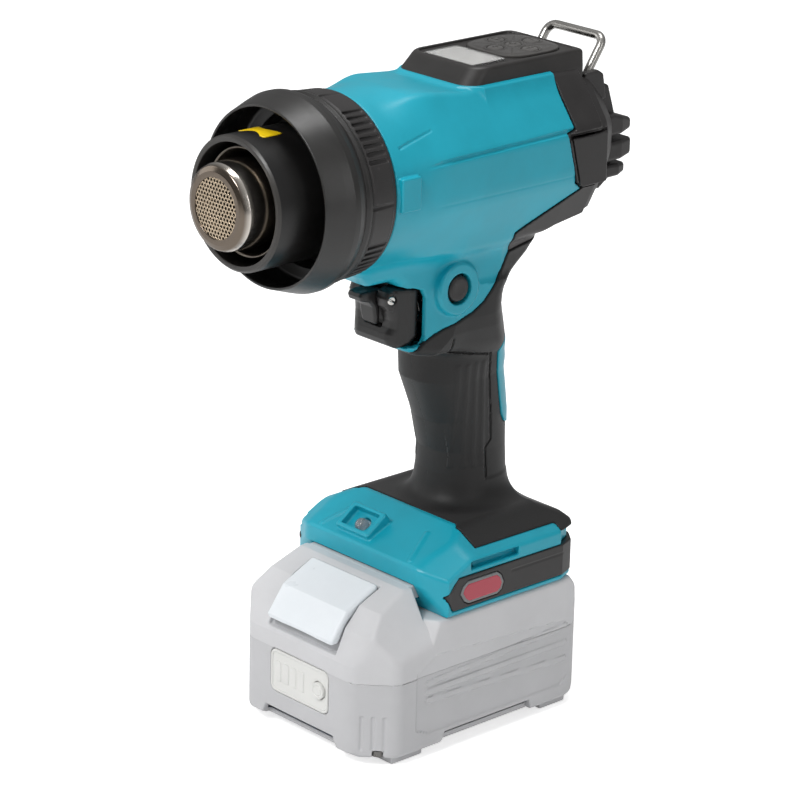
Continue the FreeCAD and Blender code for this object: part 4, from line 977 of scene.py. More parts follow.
def rear_cover(x, y, z):
    side = abs(x)
    outside = rear_outside(x, y, z)
    # rear box with a sloping top
    form = join(outside, meet(outline(y, z, REAR_BOX), side - 18.6, 1.6), 1.2)
    # side panels, proud and rounded, in a shadow gap
    panel = box(side, y, z, (24, 23.9, 211.0), (35.6, 46.0, 233.3), 1.4)
    panel = meet(panel, (side - 35.7) + (y - 24) * 0.07, 1.2)
    form = carve(form, (maximum(outline(y, z, PANEL_GAP), 34.2 - side), 0.6))
    form = join(form, panel, 0.5)
    panel_line = maximum(abs(outline(y, z, PANEL_LINE)) - 0.4, 31.6 - side)
    form = carve(form, (panel_line, 0.4), (outside + 2.4, 0.3))
    form = meet(form, outline(y, z, REAR) + 0.1, 0.3)
    # hook recess, and ears with bores
    form = carve(form, (box(x, y, z, (-16.9, 45.4, 246.0), (16.9, 63, 262), 0.8), 0.5))
    form = join(form, meet(outline(y, z, HOOK_EAR), abs(side - 19.0) - 1.65, 0.8), 0.6)
    return carve(form,
                 (maximum(circle(y, z, *HOOK_AXIS, 1.86), side - 19.7), 0.2),
                 # air intake
                 (box(x, y, z, (-15.2, 50, 207.0), (15.2, 80, 232.4), 1.0), 0.4))


def louvre(x, y, z, front_half, rear_half, rear, low, high, slope):
    """One wide fin, narrowing to the rear, its top falling with the slope."""
    radius = 1.5
    top = high - maximum(0, y - 62) * slope
    bottom = low + maximum(0, y - 66) * 0.12
    width = along(y, [56, 66, 74], [front_half, front_half - 0.4, rear_half])
    return corner3(abs(x) - (width - radius),
                   abs(y - (54 + rear) / 2) - ((rear - 54) / 2 - radius),
                   abs(z - (top + bottom) / 2) - ((top - bottom) / 2 - radius), radius)


def louvres(x, y, z):
    form = louvre(x, y, z, 22.4, 19.5, 73.3, 224.6, 233.2, slope=0.30)
    form = minimum(form, louvre(x, y, z, 22.4, 20.0, 73.4, 214.4, 222.2, slope=0.0))
    form = minimum(form, louvre(x, y, z, 21.4, 18.0, 71.4, 207.4, 212.8, slope=0.08))
    core = carve(box(x, y, z, (-14.9, 55, 207.3), (14.9, 63.6, 232.0), 0.8),
                 *[(box(x, y, z, (-12.4, 50, at - 1.4), (12.4, 80, at + 1.4), 0.5), 0.3)
                   for at in (223.4, 213.6)])
    # upright grooves across the middle fin
    return carve(join(form, core, 0.6),
                 *[(box(x, y, z, (at - 0.5, 70.8, 215.6), (at + 0.5, 80, 221.0), 0.3), 0.2)
                   for at in (-12, -4, 4, 12)])


# ======================================================== display housing and keys
BEZEL_TOP, BEZEL_BOTTOM, BEZEL_FRONT = 261.9, 254.8, -17.9
FACE_FRONT = BEZEL_FRONT + (BEZEL_TOP - BEZEL_BOTTOM) * 0.95 + 2.0
FACE_REAR = 43.4
KEY_HOLE = 3.5


def bezel_outside(x, y, z):
    front = BEZEL_FRONT + (z - BEZEL_BOTTOM) * 0.95
    width = along(z, [249, 255, 261.9], [21.2, 20.9, 19.9])
    bottom = along(y, [-18, 20, 27, 46], [254.9, 254.9, 252.4, 250.4])
    radius = 7.0
    plan = corner2(abs(x) - (width - radius), front - y + radius, radius)
    plan = meet(plan, (y - 45.4) - (z - 262) * 0.06, 3.0)
    top = z - (261.95 - 0.012 * maximum(0, y - 38) ** 2)
    return meet(meet(plan, top, 1.3), bottom - z, 0.5)


def mat_outline(x, y):
    """Squarish oval round the keys."""
    power = 3.2
    ratio = (abs(abs(x) / 15.2) ** power + abs((y - 26) / 15.6) ** power) ** (1 / power)
    return circle(x, y, 0, 26, 0) * (1 - 1 / maximum(ratio, 0.05))


def bezel(x, y, z):
    face = round_rect(abs(x), y, (0, (FACE_FRONT + FACE_REAR) / 2),
                      (17.9, (FACE_REAR - FACE_FRONT) / 2), 5.0)
    return carve(
        bezel_outside(x, y, z),
        (maximum(face, 261.05 - z), 0.4),
        # hollow below, openings for the display and the keys
        (box(x, y, z, (-17.8, -11.8, 240), (17.8, 42.2, 259.2), 1.0), 0.3),
        (box(x, y, z, (-12.6, -7.8, 240), (12.6, 8.4, 270), 0.6), 0.25),
        (maximum(mat_outline(x, y) - 0.2, 259.9 - z), 0.25),
        *[(maximum(circle(x, y, *at, KEY_HOLE), 240 - z), 0.2) for at in KEYS.values()])


def key_mat(x, y, z):
    edge = mat_outline(x, y)
    top = 262.25 - 0.35 * ease(-3.4, -0.4, edge)
    form = meet(meet(edge, z - top, 0.5), 260.05 - z, 0.2)
    # moulded rings round each key
    for at in KEYS.values():
        radius = circle(x, y, *at, 0)
        form = carve(form, (maximum(radius - KEY_HOLE, 250 - z), 0.15))
        form = form - 0.28 * np.exp(-((radius - 4.3) / 0.35) ** 2) * (z > 261.2)
    # thin dividing lines on the diagonals
    offset = abs(y - 26)
    for sign in (-1, 1):
        across = abs(x * sign - (y - 26) * 0.98) / 1.4
        cut = carve(form, (circle(across, z, 0, 262.3, 0.32), 0.15))
        form = np.where((offset > 4.5) & (offset < 11), cut, form)
    return form


def key_sign(kind, u, v):
    """Outline of the mark on a key."""
    upright = maximum(abs(v) - 1.5, abs(u) - 0.3)
    level = maximum(abs(u) - 1.5, abs(v) - 0.3)
    radius = sqrt(u * u + v * v)
    if kind == "plus":
        return minimum(level, upright)
    if kind == "minus":
        return level
    if kind == "power":
        gap = np.where((v < 0) & (abs(u) < 0.7), 1, -1)
        stem = maximum(abs(u) - 0.25, abs(v + 1.2) - 0.9)
        return minimum(maximum(abs(radius - 1.4) - 0.26, gap), stem)
    if kind == "mode":
        return abs(maximum(abs(u), abs(v)) - 1.3) - 0.26
    turn = np.arctan2(v, u)
    blades = abs(((turn * 3 / (2 * np.pi)) % 1) - 0.5) * 1.2 - 0.28
    return maximum(radius - 1.7, blades)


def key_cap(kind):
    key_x, key_y = KEYS[kind]

    def field(x, y, z):
        radius = circle(x, y, key_x, key_y, 0)
        top = 262.75 - 0.05 * radius ** 2 * 0.9
        form = meet(meet(radius - 3.28, z - top, 0.6), 260.3 - z, 0.2)
        sign = key_sign(kind, x - key_x, y - key_y)
        return carve(form, (maximum(sign, -(z - top + 0.3)), 0.12))
    return field


# ======================================================== trigger group, lamp and ring
# Side outlines, (y, z)
TRIGGER = [(-33.4, 180.0), (-42.8, 180.0), (-46.0, 178.8), (-47.0, 176.2), (-46.2, 173),
           (-44.2, 170), (-43.4, 167), (-43.6, 164), (-44.6, 161.6), (-44.9, 159.2),
           (-44.2, 157.2), (-42.2, 156.0), (-39.0, 156.2), (-36.4, 157.4), (-33.4, 159.8)]
LEVER = [(-41.8, 173.4), (-41.8, 177.4), (-43.4, 178.4), (-50.5, 178.6), (-53.2, 178.2),
         (-54.0, 176.8), (-53.2, 175.0), (-49.4, 173.9), (-47.4, 171.6), (-46.8, 168.2),
         (-46.2, 165.2), (-45.0, 164.2), (-43.8, 165.2), (-44.0, 171.8)]
TRIGGER_WIDTH = ([-48, -46.0, -44.0, -42.4, -38, -33], [7.0, 8.6, 10.4, 12.0, 13.9, 14.7])  # by y
PIN_BORE = 1.27


def trigger(x, y, z):
    side = abs(x)
    pivot = circle(y, z, *PIVOT, 0)
    width = maximum(along(y, *TRIGGER_WIDTH), along(z, [168, 171, 179], [0, 11.2, 11.3]))
    form = carve(meet(outline(y, z, TRIGGER), (side - width) * 0.9, 2.2),
                 # seats of the pin heads, slot of the lever, bore of the pin
                 (maximum(pivot - 2.1, 10.9 - side), 0.3),
                 (box(x, y, z, (-4.75, -60, 163.4), (4.75, -40.4, 184), 0.8), 0.5),
                 (pivot - PIN_BORE, 0.2))
    return minimum(form, box(x, y, z, (-3.3, -36, 163.7), (3.3, -30.1, 170.3), 0.6))


def lever(x, y, z):
    width = 4.3 - 0.35 * ease(-50, -54.5, y) - 0.5 * ease(168, 164, z)
    dish = sqrt(x * x * 0.8 + (y + 51.6) ** 2 + (z - 185.2) ** 2) - 7.2
    return carve(meet(outline(y, z, LEVER), abs(x) - width, 1.3),
                 (dish, 0.5), (circle(y, z, *PIVOT, PIN_BORE), 0.2))


def pivot_pin(x, y, z):
    side = abs(x)
    radius = circle(y, z, *PIVOT, 0)
    heads = meet(meet(radius - 1.75, side - 11.5, 0.5), 10.65 - side, 0.1)
    form = minimum(meet(radius - 1.2, side - 11.05, 0.3), heads)
    slot = abs((y - PIVOT[0]) * 0.5 + (z - PIVOT[1]) * 0.866)
    return carve(form, (maximum(slot - 0.25, 10.5 - side), 0.1))


def lamp_lens(x, y, z):
    """Domed lens on a short barrel with a flange, tilted 40 degrees."""
    depth = (y + 42.2) * 0.766 - (z - 79.6) * 0.643
    across = (y + 42.2) * 0.643 + (z - 79.6) * 0.766
    radius = circle(x, across, -8, 0, 0)
    form = minimum(circle(radius, depth, 0, 2.9, 2.9),
                   maximum(radius - 2.6, abs(depth - 3.6) - 1.3))
    flange = meet(abs(depth - 4.5) - 0.5, radius - 3.1, 0.2)
    return minimum(maximum(form, depth - 4.9), flange)


def lock_ring(x, y, z):
    height = z - BARREL_Z
    radius = sqrt(x * x + height * height)
    angle = np.degrees(np.arctan2(abs(x), height))      # from the top, on either side
    outer = along(y, [-78, -76.6, -67, -64.6], [35.5, 36.1, 35.5, 34.7])
    form = meet(meet(radius - outer, y + 64.95, 0.7), -77.75 - y, 0.7)
    # groups of eight finger slots
    for centre in (46, 134):
        nearest = np.clip(np.floor((angle - centre) / 5.0), -4, 3) + 0.5
        arc = (angle - centre - nearest * 5.0) * (np.pi / 180) * radius
        slot = meet(abs(arc) - 0.8, abs(y + 71.6) - 4.9, 0.8)
        form = carve(form, (meet(slot, 34.8 - radius, 0.5), 0.45))
    # parting notches
    for centre in (8, 90, 172):
        arc = (angle - centre) * (np.pi / 180) * radius
        form = carve(form, (circle(arc, radius, 0, 36.2, 0.9), 0.3))
    # turned line near the rear edge
    form = carve(form, (circle(y, radius, -66.2, 35.3, 0.35), 0.3))
    return meet(form, 32.15 - radius, 0.2)


# ======================================================== battery
# Side outlines, (y, z)
PACK = [(-78.6, 4.6), (-78.6, 40.5), (-73.2, 52.4), (-66, 60), (-52.5, 65.8), (-48.6, 65.8),
        (-48.6, 55), (26.4, 55), (32.6, 49.4), (34.9, 42), (34.9, 6.1), (31.9, 3.1),
        (-75.6, 3.1)]
PACK_PANEL = [(-56, 12.2), (-50, 9.6), (22, 9.6), (27.5, 14), (27.5, 33), (24, 37.2),
              (-46, 41.5), (-56, 36)]
SIDE_ARCH = [(-44, -2), (-41, 7.6), (5, 7.6), (8, -2)]
LATCH_ROOM = [(-83, 42.2), (-83, 61.5), (-54.9, 69), (-54.9, 58.2), (-70, 49.4), (-75.4, 42.2)]
LATCH_WALL = [(-85, 37.4), (-85, 62), (-54, 70), (-54, 56), (-69, 47.2), (-74.4, 37.4)]
LATCH = [(-78.6, 46.0), (-79.4, 47.8), (-71.6, 58.4), (-56.6, 65.4), (-55.5, 64.6),
         (-55.4, 62.2), (-70.2, 53.8), (-75.4, 46.0)]
# Raised bars on the flanks, converging towards the front: ends as (y, z)
BARS = [((-50, 30.6), (24, 34.4)), ((-50, 27.0), (24, 27.4)), ((-50, 23.4), (24, 20.4))]


def pack_outside(x, y, z):
    side = abs(x)
    front_corner = ((side - PACK_HALF) * 12.6 - (y + 66) * 12.8) / 17.96
    rear_corner = ((side - PACK_HALF) * 7.3 + (y - 27.6) * 5.8) / 9.32
    plan = meet(meet(side - PACK_HALF, front_corner, 2.5), rear_corner, 3.0)
    form = meet(outline(y, z, PACK), plan, 2.2)
    deck_half = 31 + (y + 90) * 0.14 + 0.9
    facet = (side - deck_half + (z - 55) * 0.62) / 1.177
    facet = facet - maximum(0, y + 48.4) * 1.1
    return meet(form, facet, 1.2)


def pack_core(x, y, z):
    """Outside of the case with its slots, before it is hollowed or split."""
    side = abs(x)
    rail = minimum(box(side, y, z, (-1, -49, 50), (26, 10, 65.9), 0.5),
                   box(side, y, z, (-1, -49, 60.2), (29.2, 10, 65.9), 0.5))
    form = minimum(pack_outside(x, y, z), rail)
    form = carve(form, (maximum(outline(y, z, PACK_PANEL), 42.45 - side), 0.5))
    for start, end in BARS:
        bar = meet(line(y, z, start, end) - 1.25, side - 42.95, 0.4)
        form = join(form, meet(bar, 40 - side, 0.2), 0.2)
    # upright grooves low on the front corners
    for at in (33.4, 36.6, 39.8):
        front = -78.6 + (at - 30.2) * 0.98
        upright = circle(side, y, at, front - 0.5, 0.95)
        form = carve(form, (meet(upright, abs(z - 13.5) - 7.0, 0.6), 0.5))
    # arches between the feet, front and sides
    arch = minimum(maximum(side - 22.5 + (z - 3) * 0.5, z - 8.6),
                   maximum(outline(y, z, SIDE_ARCH), 39.6 - side))
    arch = maximum(arch, np.where(side < 39.6, y + 74.6, -9))
    return carve(
        form, (arch, 0.6),
        (meet(outline(y, z, LATCH_ROOM), side - 19.7, 0.8), 0.5),
        # gauge and its button
        (maximum(round_rect(x, z, GAUGE, (17.1, 9.1), 3.2), y + 77.7), 0.3),
        (maximum(circle(x, z, *GAUGE_KEY, 3.65), y + 76), 0.2),
        # contact slots
        *[(box(side, y, z, (at - 1.7, -8.2, 57.2), (at + 1.7, 12, 68), 0.3), 0.2)
          for at in (7, 17)],
        # screw wells under the front corners
        (maximum(circle(side, y, 36, -69.5, 2.85), z - 6.4), 0.2))


def pack_wall(x, y, z):
    """Case hollowed out, with walls left behind the latch and the gauge."""
    inner = meet(pack_outside(x, y, z) + 2.3, z - 50.8, 0.5)
    latch = meet(outline(y, z, LATCH_WALL), abs(x) - 21.8, 0.8)
    gauge = maximum(round_rect(x, z, GAUGE, (19, 11), 3.2), y + 75.6)
    inner = carve(inner, (latch, 0.5), (gauge, 0.5))
    return carve(pack_core(x, y, z), (inner, 0.3))


def case_upper(x, y, z):
    room = box(x, y, z, (-22.8, -45.8, 48), (22.8, -10, 62.8), 0.6)
    return maximum(carve(pack_wall(x, y, z), (room, 0.3)), 33.9 - z)


def case_lower(x, y, z):
    form = pack_wall(x, y, z)
    for start, end in ((-66, -50), (14, 28)):
        form = join(form, box(abs(x), y, z, (28, start, 0), (40, end, 6), 0.6), 0.8)
    form = join(form, box(x, y, z, (-10, -10, 0), (10, 10, 6), 0.6), 0.8)
    return meet(maximum(form, z - 34.1), -z, 0.05)


def latch(x, y, z):
    side = abs(x)
    form = meet(outline(y, z, LATCH), side - 19.0, 1.7)
    # dished thumb face
    outward = (y + 77) * -0.82 + (z - 51.3) * 0.57
    dish = sqrt((side * 0.62) ** 2 + ((y + 77) * 0.57 + (z - 51.3) * 0.82) ** 2)
    return form + 0.55 * np.exp(-(dish / 6.5) ** 4) * ease(-3.5, 0, outward)


def gauge_plate(x, y, z):
    plate = round_rect(x, z, GAUGE, (16.8, 8.8), 3.0)
    form = meet(meet(plate, -78.8 - y, 0.5), y + 77.75, 0.2)
    form = carve(form, (maximum(plate + 1.1, y + 78.45), 0.25))
    for i in range(4):
        bar = round_rect(x, z, (-12.4 + i * 4.5, GAUGE[1]), (1.55, 4.2), 0.7)
        form = minimum(form, meet(meet(bar, -78.75 - y, 0.3), y + 77.9, 0.1))
    return carve(form, (maximum(circle(x, z, *GAUGE_KEY, 3.62), y + 70), 0.15))


def gauge_key(x, y, z):
    radius = circle(x, z, *GAUGE_KEY, 0)
    form = meet(meet(radius - 3.4, -79.5 - y - 0.02 * radius * radius, 0.5), y + 77.25, 0.2)
    return carve(form, (circle(radius, y, 2.2, -79.6, 0.3), 0.15))


# ======================================================== turned pieces: along, radius, rounding
LOCK_CAP = [(14.4, 0, 0), (23.3, 0, 0), (23.5, 2.6, 2), (23.5, 4.0, 0.5), (22.9, 4.9, 0.6),
            (21.6, 5.3, 0.8), (16.6, 5.3, 0.2), (16.6, 6.2, 0.3), (14.4, 6.2, 0.3)]
SLEEVE = [(-119, 16.5, 1.4), (-121.2, 15.7, 1.1), (-122, 13.6, 1.0), (-122, 11.5, 0.35),
          (-120.8, 11.4, 0.25), (-120.8, 15.3, 0.3), (-40, 15.3, 0.2), (-40, 16.1, 0.2),
          (-107.6, 16.1, 0.2), (-108, 16.5, 0.2)]
SHIELD = [(-108.6, 20.3, 0.3), (-108.0, 19.7, 0.3), (-48, 19.7, 0.1), (-48, 20.5, 0.1),
          (-107.4, 20.5, 0.2), (-108.0, 20.9, 0.3)]
TUBE = [(-113.1, 22.9, 0.5), (-113.1, 24.6, 0.4), (-112.2, 25.5, 0.4), (-74, 25.5, 0.8),
        (-74, 29.3, 0.5), (-64.8, 29.3, 0.2), (-64.8, 25.5, 0.2), (-61.75, 25.5, 0.2),
        (-61.75, 30, 0.3), (-59.5, 30, 0.3), (-59.5, 20.8, 0.3), (-61.75, 20.8, 0.2),
        (-61.75, 22.9, 0.2)]
GUARD = [(-98.9, 33.4, 0.45), (-98.9, 34.4, 0.45), (-96.4, 35.2, 4), (-91, 37.0, 8),
         (-87.6, 38.0, 1.6), (-85.2, 38.0, 1.6), (-82.6, 36.9, 1.5), (-80.4, 35.7, 0.5),
         (-79.3, 36.5, 0.4), (-78.1, 36.5, 0.4), (-78.1, 31.9, 0.4), (-66.2, 31.9, 0.3),
         (-66.2, 29.5, 0.3), (-80.5, 29.5, 1.0), (-82, 34.4, 2.0), (-88, 35.7, 4),
         (-97, 33.5, 1.0)]


def front_tube():
    """Black tube whose front rim has its own material."""
    tube = lathe("inner_tube", TUBE, "tube", 160)
    tube.data.materials.append(looks["tube_rim"])
    centres = np.empty(len(tube.data.polygons) * 3, f32)
    tube.data.polygons.foreach_get("center", centres)
    at_rim = centres.reshape(-1, 3)[:, 1] < -0.1122
    tube.data.polygons.foreach_set("material_index", at_rim.astype(np.int32))
    return tube


# ======================================================== pieces built point by point
def plate(name, half_x, half_y, centre_y, bottom, top, radius, look):
    """Flat plate with rounded corners and an eased top edge."""
    edge = 0.25
    points = []
    for level, inset in ((bottom, 0.0), (top - edge, 0.0), (top, edge)):
        far_x, far_y = half_x - inset, half_y - inset
        ring = round_path([(-far_x, -far_y, radius), (far_x, -far_y, radius),
                           (far_x, far_y, radius), (-far_x, far_y, radius)])
        points += [(a, centre_y + b, level) for a, b in ring]
    count = len(ring)
    faces = [[k * count + i, k * count + (i + 1) % count,
              (k + 1) * count + (i + 1) % count, (k + 1) * count + i]
             for k in range(2) for i in range(count)]
    faces += [list(range(count))[::-1], [2 * count + i for i in range(count)]]
    mesh = list_mesh(name, points, faces, looks[look])
    mesh.set_sharp_from_angle(angle=math.radians(30))
    return add_object(name, mesh)


def add_thickness(made, thickness):
    solid = made.modifiers.new("thickness", "SOLIDIFY")
    solid.thickness = thickness
    solid.offset = 0


def outlet_mesh():
    """Perforated outlet plate: hexagonal cells with round holes, gently domed."""
    pitch = 1.9 if QUICK else 1.7
    hole = pitch * 0.35
    corner = pitch * 0.57735
    points, faces, numbers = [], [], {}

    def number(x, z):
        key = (round(x, 3), round(z, 3))
        if key not in numbers:
            numbers[key] = len(points)
            dome = -121.1 - 0.8 * (1 - (x * x + z * z) / 230)
            points.append((x, dome, z + BARREL_Z))
        return numbers[key]

    def around(centre, radius, degrees):
        angle = math.radians(degrees)
        return centre[0] + radius * math.sin(angle), centre[1] + radius * math.cos(angle)

    reach = int(14.6 / pitch) + 2
    for i in range(-reach, reach + 1):
        for j in range(-reach, reach + 1):
            centre = (pitch * (i + 0.5 * (j % 2)), pitch * 0.866 * j)
            if math.hypot(*centre) > 14.3:
                continue
            hexagon = [around(centre, corner, 60 * k) for k in range(6)]
            for k in range(6):
                start, end = hexagon[k], hexagon[(k + 1) % 6]
                middle = ((start[0] + end[0]) / 2, (start[1] + end[1]) / 2)
                outer = [number(*point) for point in (start, middle, end)]
                inner = [number(*around(centre, hole, 60 * k + turn)) for turn in (0, 30, 60)]
                faces += [(outer[0], outer[1], inner[1], inner[0]),
                          (outer[1], outer[2], inner[2], inner[1])]
    made = add_object("outlet_mesh", list_mesh("outlet_mesh", points, faces, looks["mesh"]))
    add_thickness(made, 0.0004)
    bevel = made.modifiers.new("edges", "BEVEL")
    bevel.width = 0.00007
    bevel.segments = 1
    return made


def caution_film():
    """Curved, round-cornered film on the tube's top, in rings out from its centre."""
    left, right, front, rear = -8.4, 6.4, -104.8, -95.6     # x and y
    centre_x, centre_y = (left + right) / 2, (front + rear) / 2
    bend, radius, rings = 25.6, 25.66, 8
    edge = round_path([(left, front, 1.0), (right, front, 1.0),
                       (right, rear, 1.0), (left, rear, 1.0)], 5)
    points, faces = [], []
    for k in range(rings + 1):
        for a, b in edge:
            angle = (centre_x + (a - centre_x) * k / rings) / bend
            points.append((radius * math.sin(angle), centre_y + (b - centre_y) * k / rings,
                           BARREL_Z + radius * math.cos(angle)))
    count = len(edge)
    for k in range(rings):
        for i in range(count):
            j = (i + 1) % count
            face = (k * count + i, (k + 1) * count + i, (k + 1) * count + j)
            faces.append(face + (k * count + j,) if k else face)
    made = add_object("caution_film", list_mesh("caution_film", points, faces, looks["yellow"]))
    add_thickness(made, 0.00018)
    return made


def hook_path():
    """Centre line of the hook, leaning back from its bores, with bent corners."""
    tilt = math.radians(34.6)
    end, leg, height = 19.4, 15.05, 17.4
    points = [np.array((x, HOOK_AXIS[0] + rise * math.sin(tilt),
                        HOOK_AXIS[1] + rise * math.cos(tilt)))
              for x, rise in ((end, 0), (leg, 0), (leg, height), (-leg, height), (-leg, 0),
                              (-end, 0))]
    path = [points[0]]
    for i, radius in enumerate((2.2, 4.2, 4.2, 2.2), 1):
        tip = points[i]
        back, ahead = points[i - 1] - tip, points[i + 1] - tip
        back, ahead = back / np.linalg.norm(back), ahead / np.linalg.norm(ahead)
        half_angle = math.acos(float(np.clip(back @ ahead, -1, 1))) / 2
        reach = radius / math.tan(half_angle)
        middle = back + ahead
        centre = tip + middle / np.linalg.norm(middle) * (radius / math.sin(half_angle))
        first, last = tip + back * reach - centre, tip + ahead * reach - centre
        bend = math.acos(float(np.clip(first @ last / radius ** 2, -1, 1)))
        for k in range(11):
            part = k / 10
            path.append(centre + (first * math.sin((1 - part) * bend)
                                  + last * math.sin(part * bend)) / math.sin(bend))
    return np.array(path + [points[-1]])


def hanging_hook():
    """Round wire along the hook's path, its ends chamfered."""
    radius, chamfer, sides = 1.75, 0.35, 20
    path = hook_path()
    tangents = np.gradient(path, axis=0)
    tangents /= np.linalg.norm(tangents, axis=1)[:, None]
    first, last = tangents[0], tangents[-1]
    rings = [(path[0], first, radius * 0.7), (path[0] + first * chamfer, first, radius)]
    rings += [(path[i], tangents[i], radius) for i in range(1, len(path) - 1)]
    rings += [(path[-1] - last * chamfer, last, radius), (path[-1], last, radius * 0.7)]
    upward = np.array([0.0, 1.0, 0.0])
    points = []
    for centre, tangent, size in rings:
        upward = upward - tangent * (upward @ tangent)
        upward /= np.linalg.norm(upward)
        across = np.cross(tangent, upward)
        for k in range(sides):
            angle = 2 * math.pi * k / sides
            points.append(centre + (upward * math.cos(angle) + across * math.sin(angle)) * size)
    faces = [(i * sides + k, i * sides + (k + 1) % sides,
              (i + 1) * sides + (k + 1) % sides, (i + 1) * sides + k)
             for i in range(len(rings) - 1) for k in range(sides)]
    faces.append(tuple(range(sides))[::-1])
    faces.append(tuple((len(rings) - 1) * sides + k for k in range(sides)))
    mesh = list_mesh("hanging_hook", points, faces, looks["hook"])
    tidy(mesh, 50)
    return add_object("hanging_hook", mesh)


# ======================================================== build
# Each field piece: name, field, box corners, step, look, CAD piece it replaces, slot
for hand, sign, low_x, high_x in (("left", 1, -0.6, 45), ("right", -1, -45, 0.6)):
    field_piece(f"shell_{hand}", half(housing, sign), (low_x, -66, 54), (high_x, 36, 262),
                HOUSING_STEP, "teal", f"housing_{hand}", "teal_plastic")
    field_piece(f"grip_cover_{hand}", half(grip_covering, sign), (low_x, -42, 76),
                (high_x, 44, 192), HOUSING_STEP, "rubber", f"grip_rubber_{hand}", "soft_rubber")
field_piece("grip_strips", grip_inlay, (-19, 3, 111), (19, 27, 152), 0.45,
            "teal", "grip_inlays", "teal_plastic")
field_piece("foot_band", foot_band, (-46, -44, 55), (46, 34, 73), 0.5,
            "black", "foot_bumper", "black_plastic")
field_piece("badge_frames", badge_layer(0.05, 43.85, 0.5, 42.0, 0.3), (-46, -38, 56),
            (46, -10, 71), 0.4, "badge_rim", "side_badges", "badge_red")
field_piece("badge_faces", badge_layer(1.1, 44.0, 0.35, 43.4, 0.2), (-46, -38, 56),
            (46, -10, 71), 0.4, "badge", None, "badge_red")
field_piece("back_cover", rear_cover, (-37, 3, 188), (37, 68, 256), HOUSING_STEP,
            "black", "rear_cover", "black_plastic")
field_piece("louvres", louvres, (-24, 54, 205), (24, 76, 236), 0.5,
            "black", "intake_grille", "black_plastic")
field_piece("screen_housing", bezel, (-23, -20, 248), (23, 47, 264), 0.5,
            "bezel", "display_bezel", "black_plastic")
field_piece("key_mat", key_mat, (-17, 9, 259), (17, 43, 264), 0.4,
            "keypad", "keypad", "key_grey")
for kind, (key_x, key_y) in KEYS.items():
    field_piece(f"cap_{kind}", key_cap(kind), (key_x - 4.2, key_y - 4.2, 259.6),
                (key_x + 4.2, key_y + 4.2, 263.6), 0.25, "key", f"key_{kind}", "key_grey",
                body=f"key_{kind}")

fit(plate("screen_glass", half_x=13.7, half_y=9.0, centre_y=0.35, bottom=261.08, top=261.75,
          radius=1.2, look="glass"), "tool", "display_window", "clear_window")
fit(plate("screen_panel", half_x=12.5, half_y=8.0, centre_y=0.3, bottom=257.4, top=260.95,
          radius=0.6, look="lcd"), "tool", "lcd_panel", "lcd")

field_piece("finger_trigger", trigger, (-16, -50, 155), (16, -29, 182), 0.42,
            "trigger", "trigger", "black_plastic", body="trigger")
field_piece("safety_lever", lever, (-6, -57, 162), (6, -40, 181), 0.36,
            "trigger", "lock_off_lever", "black_plastic", body="lock_off_lever")
field_piece("pivot_pin", pivot_pin, (-12.5, -47, 173), (12.5, -42, 178), 0.25,
            "polished", "lever_pin", "polished_steel", body="trigger")
fit(lathe("lock_cap", LOCK_CAP, "black", 72, axis="x", centre=(0, *LOCK)),
    "lock_button", "lock_button", "black_plastic")
field_piece("lamp_lens", lamp_lens, (-12, -44, 73.5), (-4, -35, 83), 0.22,
            "lens", "led_lens", "clear_lens")
field_piece("twist_ring", lock_ring, (-37.5, -79, BARREL_Z - 37.5),
            (37.5, -64, BARREL_Z + 37.5), 0.5, "black", "lock_ring", "black_plastic",
            body="lock_ring")

fit(lathe("outlet_sleeve", SLEEVE, "steel", 160), "tool", "nozzle", "nozzle_steel")
fit(lathe("hot_shield", SHIELD, "shield", 128), "tool", "heat_shield", "polished_steel")
fit(front_tube(), "tool", "front_tube", "black_plastic")
fit(lathe("guard_bell", GUARD, "guard", 192), "outer_guard", "outer_guard", "black_plastic")
fit(outlet_mesh(), "tool", "nozzle_mesh", "mesh_steel")
fit(caution_film(), "tool", "tube_marker", "yellow_film")
fit(hanging_hook(), "hook", "hook", "polished_steel")

field_piece("pack_cover", case_upper, (-45, -82, 33), (45, 37, 67.5), BATTERY_STEP,
            "pack", "battery_case_upper", "pack_grey", body="battery")
field_piece("pack_tray", case_lower, (-45, -82, -1), (45, 37, 35), BATTERY_STEP,
            "pack_dark", "battery_case_lower", "pack_grey", body="battery")
field_piece("release_button", latch, (-21, -83, 41), (21, -54, 67), 0.5,
            "latch", "battery_latch", "pack_button", body="battery_latch")
field_piece("gauge_plate", gauge_plate, (-18.5, -80, 14.5), (18.5, -76.5, 35.5), 0.36,
            "pack_lite", "gauge_panel", "pack_panel", body="battery")
field_piece("gauge_key", gauge_key, (7, -81, 20.5), (16, -76, 29.5), 0.3,
            "pack_lite", "gauge_button", "pack_button", body="gauge_button")

# CAD pieces that keep their shape, and their looks
KEPT = {
    "housing_screws": "screw", "dust_filter": "filter", "heater_former": "mica",
    "heater_coil": "heating", "temperature_sensor": "screw", "fan_duct": "duct",
    "motor_can": "motor", "motor_rotor": "motor", "fan_impeller": "fan",
    "switch_body": "fan", "trigger_spring": "polished", "display_board": "board",
    "main_board": "board", "led_board": "board", "terminal_block": "fan",
    "terminal_blades": "brass", "wiring_harness": "red", "battery_screws": "screw",
    "battery_cells": "cell", "cell_holder": "duct", "battery_board": "board",
    "battery_contacts": "brass", "latch_spring": "polished",
}
for name, piece in frame["nodes"].items():
    if piece.hide_render:
        continue
    piece.data.materials.clear()
    piece.data.materials.append(looks[KEPT.get(name, "black")])
    if name not in ("trigger_spring", "latch_spring", "heater_coil"):
        bevel = piece.modifiers.new("eased_edges", "BEVEL")
        bevel.width = 0.0002
        bevel.segments = 2
        bevel.limit_method = "ANGLE"
        bevel.angle_limit = math.radians(40)
    piece.modifiers.new("normals", "WEIGHTED_NORMAL").keep_sharp = True

